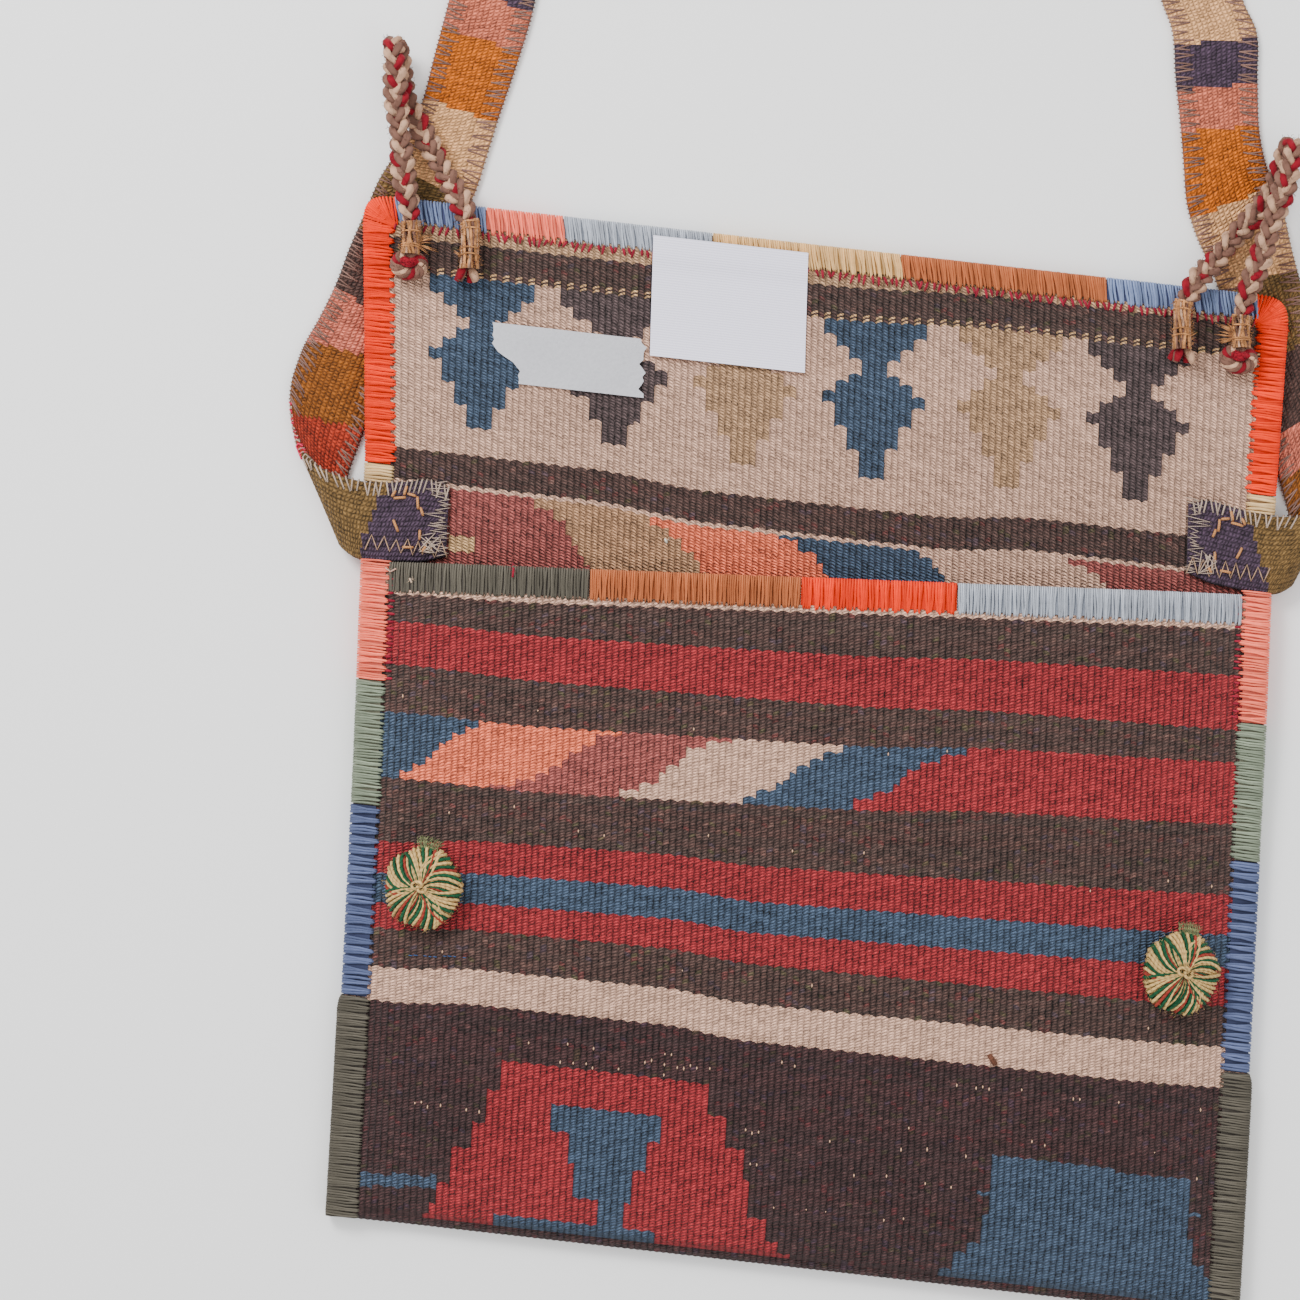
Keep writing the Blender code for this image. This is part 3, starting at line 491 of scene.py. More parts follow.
class Yarns:
    """Collects tubes of yarn, then makes one mesh of them."""

    def __init__(self):
        self.points = []
        self.faces = []
        self.colours = []
        self.uvs = []
        self.count = 0

    def add(self, path, radius, colour, reference=(0, 0, 1), sides=6, flat=1.0, sideways=None):
        """One tube along a path; reference is a direction that the path never runs along."""
        path = np.asarray(path, float)
        count = len(path)
        along = directions(path)
        if sideways is None:
            sideways = unit(np.cross(along, np.asarray(reference, float)))
        upward = np.cross(sideways, along)
        radius = np.broadcast_to(np.asarray(radius, float), (count,))
        angle = np.arange(sides) * math.tau / sides
        ring = (np.cos(angle)[None, :, None] * sideways[:, None, :]
                + flat * np.sin(angle)[None, :, None] * upward[:, None, :])
        self.points.append((path[:, None, :] + radius[:, None, None] * ring).reshape(-1, 3))
        run = lengths_along(path) / MM
        base = self.count
        self.faces += quads(count, sides, base)
        for k in range(count - 1):
            for j in range(sides):
                left, right = j / sides, (j + 1) / sides
                self.uvs += [(run[k], left), (run[k], right), (run[k + 1], right), (run[k + 1], left)]
        self.faces.append(tuple(base + j for j in range(sides))[::-1])
        self.uvs += [(run[0], 0)] * sides
        self.faces.append(tuple(base + (count - 1) * sides + j for j in range(sides)))
        self.uvs += [(run[-1], 0)] * sides
        self.colours += [np.asarray(colour, float)] * ((count - 1) * sides + 2)
        self.count += count * sides

    def shell(self, lines, colour):
        """An open sheet through equally long lines of points, such as the painted shade that shows between
        wraps.
        """
        lines = np.asarray(lines, float)
        rows, width = lines.shape[:2]
        base = self.count
        self.points.append(lines.reshape(-1, 3))
        self.faces += quads(rows, width, base, closed=False)
        for k in range(rows - 1):
            self.uvs += [(k, 0), (k, 0), (k + 1, 0), (k + 1, 0)] * (width - 1)
        self.colours += [np.asarray(colour, float)] * ((rows - 1) * (width - 1))
        self.count += rows * width

    def build(self, name, material):
        points = np.concatenate(self.points)
        return mesh_object(name, points, self.faces, self.colours, self.uvs, "yarn", material)


# Braided loops

LOOP_ROUTE = [
    (15.7, -20.3, 13.4),
    (15.8, -12.5, 13.4),
    (14.6, -3.5, 13.8),
    (12.0, 6.5, 14.8),
    (8.8, 22.0, 16.4),
    (5.6, 37.0, 17.6),
    (3.6, 49.5, 18.0),
    (2.6, 55.6, 16.0),
    (2.6, 57.8, 11.8),
    (3.4, 55.2, 7.6),
    (5.6, 47.5, 5.9),
    (9.2, 37.5, 6.8),
    (15.4, 27.0, 8.3),
    (21.1, 19.2, 8.4),
    (27.1, 10.2, 9.4),
    (33.4, 1.6, 13.2),
    (37.4, -8.0, 13.5),
    (37.6, -16.0, 13.4),
    (37.6, -24.5, 13.4),
]
LOOP_RINGS = 150
TIE_RADIUS = 0.0032
TIE_PAST_END = 0.003
TIE_SHIFT = 0.001
TIE_THREADS = 24
TUFT_THREADS = 18
# Hairs on each ply of the braid, on each ply of the knot, on its lump, on a strand's end and on a whipping
PLY_HAIRS = 280
KNOT_HAIRS = 45
LUMP_HAIRS = 60
END_HAIRS = 7
TIE_HAIRS = 160
PLAIT_PERIOD = 0.0148
PLAIT_SWING = 0.0025
PLAIT_RISE = 0.0013
PLY = 0.00166
PLY_OFFSET = 0.00105
PLY_TWIST = 0.06
TAUPE = (112, 80, 68)
PALE = (180, 142, 116)
CRIMSON = (128, 20, 34)
WHIPPING_TAN = (180, 125, 80)
STRANDS = [(TAUPE, PALE), (CRIMSON, TAUPE), (PALE, TAUPE)]
TIE_YARNS = [WHIPPING_TAN, WHIPPING_TAN, PALE, WHIPPING_TAN, TAUPE]
# The two whippings of a loop: the rings of the route that they cover and where threads cross them, as shares,
# and the tuft that sticks out: the point it starts at, its direction and spread in degrees, and its length
Whipping = namedtuple("Whipping", "start stop crossings tuft_at angle fan reach")
WHIPPINGS = {
    "short": Whipping(1, 10, (0.2, 0.32, 0.7), 5, 8, 42, 0.0075),
    "long": Whipping(LOOP_RINGS - 16, LOOP_RINGS - 2, (0.12, 0.2, 0.62, 0.74), -3, 118, 50, 0.0045),
}


def transported(path, first):
    """Sideways directions along a path that turn with it and never twist."""
    along = directions(path)
    out = []
    side = np.asarray(first, float)
    for direction in along:
        side = side - direction * np.dot(side, direction)
        side = side / np.linalg.norm(side)
        out.append(side)
    return np.array(out)


def loop_route(side):
    sign = SIDES[side]
    spots = [place(sign * (HALF_WIDTH - inset * MM), TOP + rise * MM, z * MM)
             for inset, rise, z in LOOP_ROUTE]
    return resample(spots, LOOP_RINGS)


def hairs(yarns, path, radius, colour, count, random, length, thick=0.00006):
    """Loose fibres that stand off a yarn or cord."""
    along = directions(path)
    for _ in range(count):
        k = random.randint(1, len(path) - 1)
        away = random.normal(size=3)
        away = unit(away - along[k] * np.dot(away, along[k]))
        if away[2] < -0.3:
            away[2] = -away[2]
        start = path[k] + away * radius
        bend = unit(away + along[k] * random.normal() * 1.2)
        reach = length * (0.4 + 0.8 * random.random())
        tip = start + away * 0.35 * reach + bend * reach * 0.6
        yarns.add([start - away * 0.0003, start + away * reach * 0.35, tip], thick,
                  toned(colour, random, 0.8, 0.5), reference=along[k], sides=3)


def braided_loop(side, material, random):
    route = loop_route(side)
    sideways = transported(route, (1, 0, 0))
    upward = np.cross(sideways, directions(route))
    run = lengths_along(route)
    ring = np.arange(LOOP_RINGS)
    pinch = 1 - 0.5 * (ease((12 - ring) / 4) + ease((ring - LOOP_RINGS + 18) / 4))
    yarns = Yarns()
    for number, colours in enumerate(STRANDS):
        turn = math.tau * (run / PLAIT_PERIOD + number / 3)
        strand = shifted(route, (sideways, pinch * PLAIT_SWING * np.sin(turn)),
                         (upward, pinch * PLAIT_RISE * np.sin(2 * turn)))
        for part, colour in enumerate(colours):
            twist = math.tau * (run / PLY_TWIST + part / len(colours))
            path = shifted(strand, (sideways, pinch * PLY_OFFSET * np.cos(twist)),
                           (upward, pinch * PLY_OFFSET * 0.75 * np.sin(twist)))
            yarns.add(path, PLY * pinch, toned(colour, random, 0.9, 0.2), sides=7, flat=0.9,
                      sideways=sideways)
            hairs(yarns, path, PLY * 0.9, colour, PLY_HAIRS, random, length=0.0014, thick=0.00008)
    piece = yarns.build(f"braid_{side}", material)
    dress(piece, "braid_wool", f"loop_{side}_cord")
    ends = loop_ends(side, route, material, random)


def loop_ends(side, route, material, random):
    """The knot, the tucked strand ends and the two whippings of one loop."""
    pieces = [loop_knot(side, material, random), strand_ends(side, material, random)]
    for label in WHIPPINGS:
        pieces += whipping(side, label, route, material, random)
    return pieces


def loop_knot(side, material, random):
    """Plies wound round a ring, with a lump of yarn over them."""
    low, high = box_of(f"loop_{side}_knot")
    middle = (low + high) / 2
    x, y, z = middle
    wide, deep, tall = (high - low) / 2
    turns = np.linspace(0, math.tau, 40)
    around = np.stack([x + wide * 0.66 * np.cos(turns), y + deep * 0.66 * np.sin(turns),
                       np.full(len(turns), z - tall * 0.1)], axis=1)
    outward = unit(around - middle)
    knot = Yarns()
    for number, colour in enumerate((TAUPE, PALE, TAUPE, TAUPE, CRIMSON)):
        twist = 3 * turns + math.tau * number / 5
        ring = shifted(around, (outward, wide * 0.21 * np.cos(twist)), (UP, tall * 0.42 * np.sin(twist)))
        knot.add(ring, wide * 0.17, toned(colour, random, 0.85, 0.3), sides=7)
        hairs(knot, ring, wide * 0.16, colour, KNOT_HAIRS, random, length=0.0018, thick=0.00008)
    coil = np.linspace(0, 5.4 * math.pi, 60)
    spread = np.linspace(0.46, 0.06, 60)
    lump = np.stack([x + wide * spread * np.cos(coil), y + deep * (0.16 + spread * 0.72 * np.sin(coil)),
                     z + tall * (0.35 + 0.9 * (0.46 - spread) + 0.1 * np.sin(3 * coil))], axis=1)
    knot.add(lump, wide * 0.12, linear(CRIMSON) * 1.15, sides=7)
    hairs(knot, lump, wide * 0.11, CRIMSON, LUMP_HAIRS, random, length=0.0014, thick=0.00008)
    return dress(knot.build(f"loop_knot_{side}", material), "braid_wool", f"loop_{side}_knot")


def strand_ends(side, material, random):
    low, high = box_of(f"loop_{side}_strand_ends")
    x, y, z = (low + high) / 2
    wide, deep, tall = (high - low) / 2
    tuft = Yarns()
    for number, colour in enumerate((CRIMSON, PALE, CRIMSON, PALE, TAUPE, CRIMSON)):
        sideways = wide * (0.55 if number % 2 else -0.45) + jitter(random, 0.001)
        sway = wide * 0.35 * math.sin(number * 2.4)
        lift = z + tall * 0.5 * math.cos(number * 1.9)
        path = [(x + sideways * 0.4, high[1] + 0.0008, z),
                (x + sideways * 0.8 + sway * 0.5, y + deep * 0.3, lift + 0.0006),
                (x + sideways + sway, low[1] + 0.0012 * random.random(), lift)]
        tuft.add(path, (0.0013, 0.0017, 0.0011), toned(colour, random, 0.9, 0.2), sides=7)
        hairs(tuft, np.array(path), 0.0012, colour, END_HAIRS, random, length=0.0016)
    return dress(tuft.build(f"loop_ends_{side}", material), "braid_wool", f"loop_{side}_strand_ends")


def whipping(side, label, route, material, random):
    """Threads laid along one end of a loop and tied round it, and the tuft of their ends."""
    look = WHIPPINGS[label]
    span = route[look.start:look.stop]
    if label == "short":
        span = np.concatenate([[span[0] + unit(span[0] - span[3]) * TIE_PAST_END], span])
    else:
        span = np.concatenate([span, [span[-1] + unit(span[-1] - span[-4]) * TIE_PAST_END]])
        span = span + np.array([-SIDES[side] * TIE_SHIFT, 0, 0])
    t = np.linspace(0, 1, 16)
    way = lengths_along(span)
    centre = np.stack([np.interp(t * way[-1], way, span[:, axis]) for axis in range(3)], axis=1)
    sideways = transported(centre, (1, 0, 0))
    upward = np.cross(sideways, directions(centre))
    tie = Yarns()
    for k in range(TIE_THREADS):
        angle = math.tau * k / TIE_THREADS + jitter(random, 0.8) * t + 0.2 * np.sin(5 * t + k)
        radius = TIE_RADIUS * (0.95 + 0.10 * random.random()) * (1 - 0.12 * np.sin(math.pi * t))
        around = np.cos(angle)[:, None] * sideways + np.sin(angle)[:, None] * upward
        tie.add(centre + radius[:, None] * around, 0.0006,
                toned(TIE_YARNS[k % len(TIE_YARNS)], random, 0.75, 0.5), sides=6, sideways=sideways)
    turn = np.linspace(0, math.tau, 20)
    cosine, sine = np.cos(turn)[:, None], np.sin(turn)[:, None]
    for share in look.crossings:
        k = int(share * 15)
        ring = (centre[k] + (TIE_RADIUS + 0.0003) * (cosine * sideways[k] + sine * upward[k])
                + (centre[k + 1] - centre[k]) * 0.5 * sine)
        tie.add(ring, 0.00036, toned(WHIPPING_TAN, random, 0.8, 0.4), sides=5,
                sideways=unit(ring - centre[k]))
    hairs(tie, centre, TIE_RADIUS, WHIPPING_TAN, TIE_HAIRS, random, length=0.0022, thick=0.00009)
    tuft = Yarns()
    foot = centre[look.tuft_at]
    for _ in range(TUFT_THREADS):
        angle = math.radians(look.angle + jitter(random, look.fan) * 1.6)
        away = np.array([-SIDES[side] * math.cos(angle), math.sin(angle), 0.0])
        length = look.reach * (0.5 + 0.6 * random.random())
        drop = np.array([0, 0, -0.0022 * random.random()])
        path = [foot + away * 0.002, foot + away * (0.003 + length * 0.5) + [0, 0, 0.0008],
                foot + away * (0.003 + length) + drop]
        tuft.add(path, (0.00026, 0.00018, 0.00008), toned(WHIPPING_TAN, random, 0.9, 0.5), sides=4)
    return [dress(tie.build(f"loop_whipping_{label}_{side}", material), "whipping_wool",
                  f"loop_{side}_whipping_{label}"),
            dress(tuft.build(f"loop_tuft_{label}_{side}", material), "whipping_wool")]


# Woven cloth

RIBS = 140
ROW = 0.00145
PICK_MM = 1.15
BEAD_SLANT = 0.3
RIB_CREST = 0.0003
RIB_VALLEY = 0.0004
# A weft line rises over two ribs and dips to a point between pairs
SCALLOP = (-0.0005, 0.00015, 0.0004, 0.00015)

# Stripes of the front panel from the mouth down: yarn, width in mm at the left and right side
FRONT_STRIPES = [
    ("cream", 11.2, 12.3),
    ("dark", 10.0, 18.1),
    ("red", 16.2, 21.0),
    ("dark", 18.7, 12.2),
    ("front_band", 25.3, 23.7),
    ("dark", 24.3, 27.2),
    ("red", 12.2, 15.6),
    ("blue", 11.3, 12.6),
    ("red", 9.3, 15.2),
    ("dark", 14.9, 15.5),
    ("cream", 12.9, 15.8),
    ("aubergine", 17.2, 20.0),
    ("hearth", 63.3, 63.3),
]
# Stripes of the flap from its top edge down: yarn, width in mm, and at the right too where that differs
FLAP_STRIPES = [
    ("tan_strip", 14.0),
    ("dark", 10.5),
    ("chain", 2.2),
    ("motifs", 57.4),
    ("cream", 10.6),
    ("dark", 12.0),
    ("cream", 1.6),
    ("flap_band", 42.2, 18.0),
]
# How far uneven weaving pulls the wefts out of line
PULL_UP = 0.003
PULL_DOWN = 0.0022
FLAP_RISE = 0.003
FLAP_DIP = 0.0035
# Stripes of the back panel, which only the outer face shows: yarn, and the height it ends at in mm
BACK_STRIPES = [("dark", 40), ("red", 62), ("dark", 90), ("cream", 102), ("dark", 150), ("blue", 163),
                ("red", 186), ("dark", 400)]
# Weft lines round the bottom fold, and how far apart they run along the strip
FOLD_LINES = 7
FOLD_STEP = 0.002
FOLD_RUN = FOLD_LINES * FOLD_STEP
FOLD_VALLEY = 0.0003
# Plain lines of the outer face's back, of the inner face's front, and of its back below the flap's stripes
OUTER_BACK_LINES = 44
INNER_FRONT_LINES = 22
INNER_BACK_LINES = 20
# Least height of a row where stripes draw together
ROW_LEAST = 0.0007
# How far the whole cloth lies uneven, and how near its sides that fades out
UNEVEN = 0.00025
UNEVEN_FADE = 0.02
# Shades of the yarn: drift carried on to the next row, new drift, spread between rows and between ribs,
# warmth of dark rows, and the share of odd fibres in them
DRIFT_KEPT = 0.8
DRIFT = 0.07
ROW_TINT = 0.12
RIB_TINT = 0.16
ROW_WARMTH = 0.18
ODD_FIBRES = 0.15

# Rows of the flap's chain line, each for the two ribs that it repeats over
CHAIN_ROWS = [("chain_tan", "dark"), ("dark", "dark"), ("chain_tan", "dark")]

# Slanted colour fields: yarn, right-hand limit in mm from the side at the field's top and foot
FRONT_BAND = [
    ("blue", 52, 14),
    ("orange", 106, 55),
    ("maroon", 145, 101),
    ("cream", 192, 146),
    ("blue", 239, 185),
    ("red", 400, 400),
]
FLAP_BAND = [
    ("maroon", 64, 104),
    ("tan", 110, 150),
    ("orange", 163, 198),
    ("blue", 212, 242),
    ("cream", 272, 310),
    ("maroon", 400, 400),
]

# One motif of the flap, row by row from its top: row height in mm, half width in columns
MOTIF_PITCH = 0.0508
MOTIF_START = 0.0189
MOTIF_ROWS = [(6.5, 4), (4.2, 3), (4.2, 2), (5.0, 1), (4.0, 2), (4.0, 3), (4.5, 4), (8.0, 3), (8.5, 2),
              (8.5, 1)]
MOTIF_YARNS = ["blue", "brown", "olive_tan", "blue", "olive_tan", "brown"]

# The stepped hearth by the fold: lowest height of each step in mm, left limit, right limit
HEARTH_OUTER = [(57, 64, 144.5), (44.5, 58, 152), (33.5, 53, 157.5), (19, 47, 161), (10, 41, 167.5),
                (6.5, 38, 173), (0, 37, 178.5)]
HEARTH_INNER_TOP = 54.5
HEARTH_INNER = [(43.5, 84, 126), (32, 90, 120.5), (19, 94.5, 117), (8.5, 103.5, 112.5), (0, 63.5, 126)]
SECOND_TOP = 53
SECOND_MIRROR = 292
SECOND_LEFT = [(40, 253.5), (38, 249), (30, 254), (19, 250.5), (15, 246), (8, 241), (0, 235.5)]
BLUE_BAR = (13.2, 18.0, 9.0, 41.0)
BLUE_BAR_CLIMB = 0.11
# A darned spot of the flap: left, right, foot and top, and a stray blue weft: height, left and right
DARN = (33.5, 43.5, 260.0, 267.0)
BLUE_TRACE = (104.0, 26.5, 50.5)
BLUE_TRACE_CLIMB = 0.1

# Odd fibres in the dark wool: reddish, greenish, bluish, pale
HEATHER = [np.array(tint)
           for tint in ((1.5, 0.9, 0.95), (1.0, 1.35, 0.9), (0.95, 1.05, 1.45), (1.5, 1.4, 1.35))]


def hill(value, middle, reach):
    """1 around the middle and 0 from the reach on."""
    return ease(2 * (1 - np.abs(value - middle) / reach))


def front_pull(share, h):
    """Wefts bow up in the lower left and sag between there and the mouth."""
    return (PULL_UP * hill(share, 0.25, 0.2) * hill(h, 0.115, 0.055)
            - PULL_DOWN * hill(share, 0.38, 0.33) * hill(h, 0.205, 0.055))


def flap_pull(share, h):
    """Wefts climb to the right near the flap's top and dip in the middle near the mouth."""
    return (FLAP_RISE * ease((share - 0.5) / 0.2) * ease((h - 0.285) / 0.06)
            - FLAP_DIP * hill(share, 0.5, 0.25) * hill(h, 0.287, 0.03))


def slanted(fields, across, down):
    """Yarn of a slanted band; its edges move by whole steps."""
    for number, (yarn, top, foot) in enumerate(fields):
        step = 0.11 + 0.015 * (number % 3)
        stepped = (math.floor(down / step + 0.3 * number) + 0.5 - 0.3 * number) * step
        bent = stepped + 0.09 * math.sin(math.tau * stepped)
        if across < top + (foot - top) * bent:
            return yarn
    return fields[-1][0]


def step_at(steps, h):
    """Limits of the step that a height falls on."""
    return next(limits for lowest, *limits in steps if h >= lowest)


def hearth(across, h):
    climb = BLUE_BAR_CLIMB * (across - BLUE_BAR[2])
    if BLUE_BAR[0] < h - climb < BLUE_BAR[1] and BLUE_BAR[2] < across < BLUE_BAR[3]:
        return "blue"
    if h < HEARTH_INNER_TOP:
        left, right = step_at(HEARTH_INNER, h)
        if left < across < right:
            return "blue"
    left, right = step_at(HEARTH_OUTER, h)
    if left < across < right:
        return "red"
    if h < SECOND_TOP:
        left = step_at(SECOND_LEFT, h)[0]
        if left < across < 2 * SECOND_MIRROR - left:
            return "blue"
    return "aubergine"


def motif(across, down):
    """Yarn in the motif rows at a distance from the left side and below the field's top, both in metres."""
    cell = (across - MOTIF_START) / MOTIF_PITCH
    number = math.floor(cell)
    if not 0 <= number < len(MOTIF_YARNS):
        return "cream"
    foot = 0.0
    half = 0
    for height, columns in MOTIF_ROWS:
        foot += height * MM
        half = columns
        if down < foot:
            break
    return MOTIF_YARNS[number] if abs(cell - number - 0.5) * 10 < half else "cream"


class Layer:
    """One face of the cloth as weft lines, each with the yarn of the cells that follow it."""

    def __init__(self):
        self.lines = []
        self.cells = []
        self.fine = []
        self.runs = []

    def add(self, points, cells, fine, run):
        self.lines.append(points)
        self.cells.append(cells)
        self.fine.append(fine)
        self.runs.append(run)


def column_offsets():
    return np.linspace(-CLOTH_HALF, CLOTH_HALF, 2 * RIBS + 1)


def scallop():
    return np.array(SCALLOP)[np.arange(2 * RIBS + 1) % 4]


def ribbed(a, h, z, edge_line):
    """Lift the rib crests and sink the valleys between them, with a slow unevenness over the cloth."""
    valley = np.arange(len(a)) % 2 == 0
    wave = UNEVEN * (np.sin(a * 41 + h * 23 + 1.0) + np.sin(a * 19 - h * 61 + 2.2))
    fade = ease((SIDE_FLAT - np.abs(a)) / UNEVEN_FADE)
    wrapped = (np.abs(a) > SIDE_FLAT + 0.0012) | (edge_line - h < TOP_REACH - 0.0005)
    return z + np.where(valley, -RIB_VALLEY, np.where(wrapped, -RIB_VALLEY / 2, RIB_CREST)) + wave * fade


def yarn_cells(name, start, end, down, top_line):
    """Colours of one row's ribs, between two weft lines at a share of the way down a stripe."""
    across = column_offsets()[1::2] + HALF_WIDTH
    h = (start + end) / 2
    names = []
    for k in range(RIBS):
        x, y = across[k] / MM, h[k] / MM
        if name == "front_band":
            names.append(slanted(FRONT_BAND, x, down))
        elif name == "flap_band":
            darned = DARN[0] < x < DARN[1] and DARN[2] < y < DARN[3]
            names.append("chain_tan" if darned else slanted(FLAP_BAND, x, down))
        elif name == "motifs":
            names.append(motif(across[k], top_line[k] - h[k]))
        elif name == "hearth":
            names.append(hearth(x, y))
        elif name == "chain":
            names.append(CHAIN_ROWS[int(down * len(CHAIN_ROWS))][k % 2])
        else:
            names.append(name)
    return names


def stripe_rows(layer, stripes, first_line, surface, run_from, pull):
    """Weft lines of one visible face, stripe by stripe from its upper edge."""
    offsets = column_offsets()
    share = (offsets + HALF_WIDTH) / BAG_WIDTH
    before = first_line
    wave = scallop()
    straight = first_line
    for name, *widths in stripes:
        straight = straight - (widths[0] + (widths[-1] - widths[0]) * share) * MM
        foot = np.minimum(straight + pull(share, straight) + wave, before - ROW_LEAST)
        count = len(CHAIN_ROWS) if name == "chain" else max(1, round(float(np.mean(before - foot)) / ROW))
        for number in range(count):
            low, high = number / count, (number + 1) / count
            start = before + (foot - before) * low
            end = before + (foot - before) * high
            names = yarn_cells(name, start[1::2], end[1::2], (low + high) / 2, before[1::2])
            layer.add(cloth_place(offsets, start, surface(offsets, start)), names, True, run_from(start))
        before = foot
    return before


def kilim(material, random):
    """The whole folded strip, with both faces, as one closed mesh."""
    offsets = column_offsets()
    rim = mouth(offsets) - EDGE
    gap_radius = CLOTH + pouch_gap(offsets, 0.0) / 2
    low = back_bottom(offsets, 0.0)
    dark = ["aubergine"] * RIBS
    plain = ["dark"] * RIBS

    def back_run(h):
        return rim + FOLD_RUN + h

    def front_surface(a, h):
        return ribbed(a, h, front_top(a, h), rim)

    def flap_surface(a, h):
        return ribbed(a, h, back_bottom(a, h) + CLOTH, CLOTH_TOP)

    def fold(layer, radius, fine):
        for number in range(FOLD_LINES):
            turn = math.radians(90 - 30 * number)
            points = place(offsets, gap_radius - radius * math.cos(turn),
                           low + gap_radius + radius * math.sin(turn))
            layer.add(points, dark, fine, rim + FOLD_STEP * (number + 1))

    outer = Layer()
    stripe_rows(outer, FRONT_STRIPES, rim, front_surface, lambda h: rim - h, front_pull)
    fold(outer, gap_radius + np.where(np.arange(len(offsets)) % 2 == 0, -FOLD_VALLEY, 0.0), True)
    for number in range(1, OUTER_BACK_LINES + 1):
        h = gap_radius + (CLOTH_TOP - gap_radius) * number / OUTER_BACK_LINES
        middle = float(np.mean(h)) / MM
        names = [next(yarn for yarn, limit in BACK_STRIPES if middle < limit)] * RIBS
        outer.add(cloth_place(offsets, h, back_bottom(offsets, h)), names, False, back_run(h))

    inner = Layer()
    for number in range(INNER_FRONT_LINES):
        h = rim + (gap_radius - rim) * number / INNER_FRONT_LINES
        inner.add(place(offsets, h, front_top(offsets, h) - CLOTH), plain, False, rim - h)
    fold(inner, gap_radius - CLOTH, False)
    flap = Layer()
    start_line = np.full_like(offsets, CLOTH_TOP)
    last = stripe_rows(flap, FLAP_STRIPES, start_line, flap_surface, back_run, flap_pull)
    for number in range(1, INNER_BACK_LINES):
        h = gap_radius + (last - gap_radius) * number / INNER_BACK_LINES
        inner.add(place(offsets, h, back_bottom(offsets, h) + CLOTH), plain, False, back_run(h))
    inner.add(place(offsets, last, flap_surface(offsets, last)), flap.cells[-1], True, back_run(last))
    for number in range(len(flap.lines) - 1, -1, -1):
        inner.add(flap.lines[number], flap.cells[max(number - 1, 0)], True, flap.runs[number])
    return weave_mesh("kilim_weave", outer, inner, material, random)


def weave_mesh(name, outer, inner, material, random):
    points, faces, colours, uvs, chains = [], [], [], [], []
    total = 0
    palette = {yarn: linear(colour) for yarn, colour in YARN.items()}
    for flip, layer in ((False, outer), (True, inner)):
        indices = []
        for line, fine in zip(layer.lines, layer.fine):
            columns = np.arange(2 * RIBS + 1) if fine else np.arange(0, 2 * RIBS + 1, 2)
            points.append(line[columns])
            indices.append(dict(zip(columns.tolist(), range(total, total + len(columns)))))
            total += len(columns)
        drift = 0.0
        for k in range(len(layer.lines) - 1):
            here, there = indices[k], indices[k + 1]
            run, run_next = layer.runs[k] / MM, layer.runs[k + 1] / MM
            drift = DRIFT_KEPT * drift + jitter(random, DRIFT)
            tint = 1 + drift + jitter(random, ROW_TINT)
            warm = 1 + ROW_WARMTH * (random.random() - 0.4)
            halves = 1 in here and 1 in there
            for rib in range(RIBS):
                colour = palette[layer.cells[k][rib]] * (tint + jitter(random, RIB_TINT))
                if layer.cells[k][rib] in ("dark", "aubergine"):
                    colour = colour * np.array([warm, 1.0, 1.0])
                    if random.random() < ODD_FIBRES:
                        colour = colour * HEATHER[random.randint(len(HEATHER))]
                left, middle, right = 2 * rib, 2 * rib + 1, 2 * rib + 2
                for low, high in ((left, middle), (middle, right)) if halves else ((left, right),):
                    upper = [c for c in range(low, high + 1) if c in here]
                    lower = [c for c in range(high, low - 1, -1) if c in there]
                    face = [here[c] for c in upper] + [there[c] for c in lower]
                    corner = [(c / 2, run[c]) for c in upper] + [(c / 2, run_next[c]) for c in lower]
                    if flip:
                        face = face[::-1]
                        corner = corner[::-1]
                    faces.append(tuple(face))
                    uvs += corner
                    colours.append(colour)
        chains.append(indices)
    dark = palette["dark"]
    for end in (0, -1):
        here, there = chains[0][end], chains[1][end]
        for rib in range(RIBS):
            columns = (2 * rib, 2 * rib + 1, 2 * rib + 2)
            face = [here[c] for c in columns if c in here] + [there[c] for c in columns[::-1] if c in there]
            faces.append(tuple(face[::-1] if end == 0 else face))
            uvs += [(0, 0)] * len(face)
            colours.append(dark)
    for column in (0, 2 * RIBS):
        rows = [[chain[column] for chain in indices] for indices in chains]
        i = j = 0
        while i < len(rows[0]) - 1 or j < len(rows[1]) - 1:
            next_outer = outer.runs[min(i + 1, len(rows[0]) - 1)][column]
            next_inner = inner.runs[min(j + 1, len(rows[1]) - 1)][column]
            if j == len(rows[1]) - 1 or i < len(rows[0]) - 1 and next_outer <= next_inner:
                face = (rows[0][i], rows[0][i + 1], rows[1][j])
                i += 1
            else:
                face = (rows[0][i], rows[1][j + 1], rows[1][j])
                j += 1
            faces.append(face if column == 0 else face[::-1])
            uvs += [(0, 0)] * 3
            colours.append(dark)
    return mesh_object(name, np.concatenate(points), faces, colours, uvs, "weave", material)
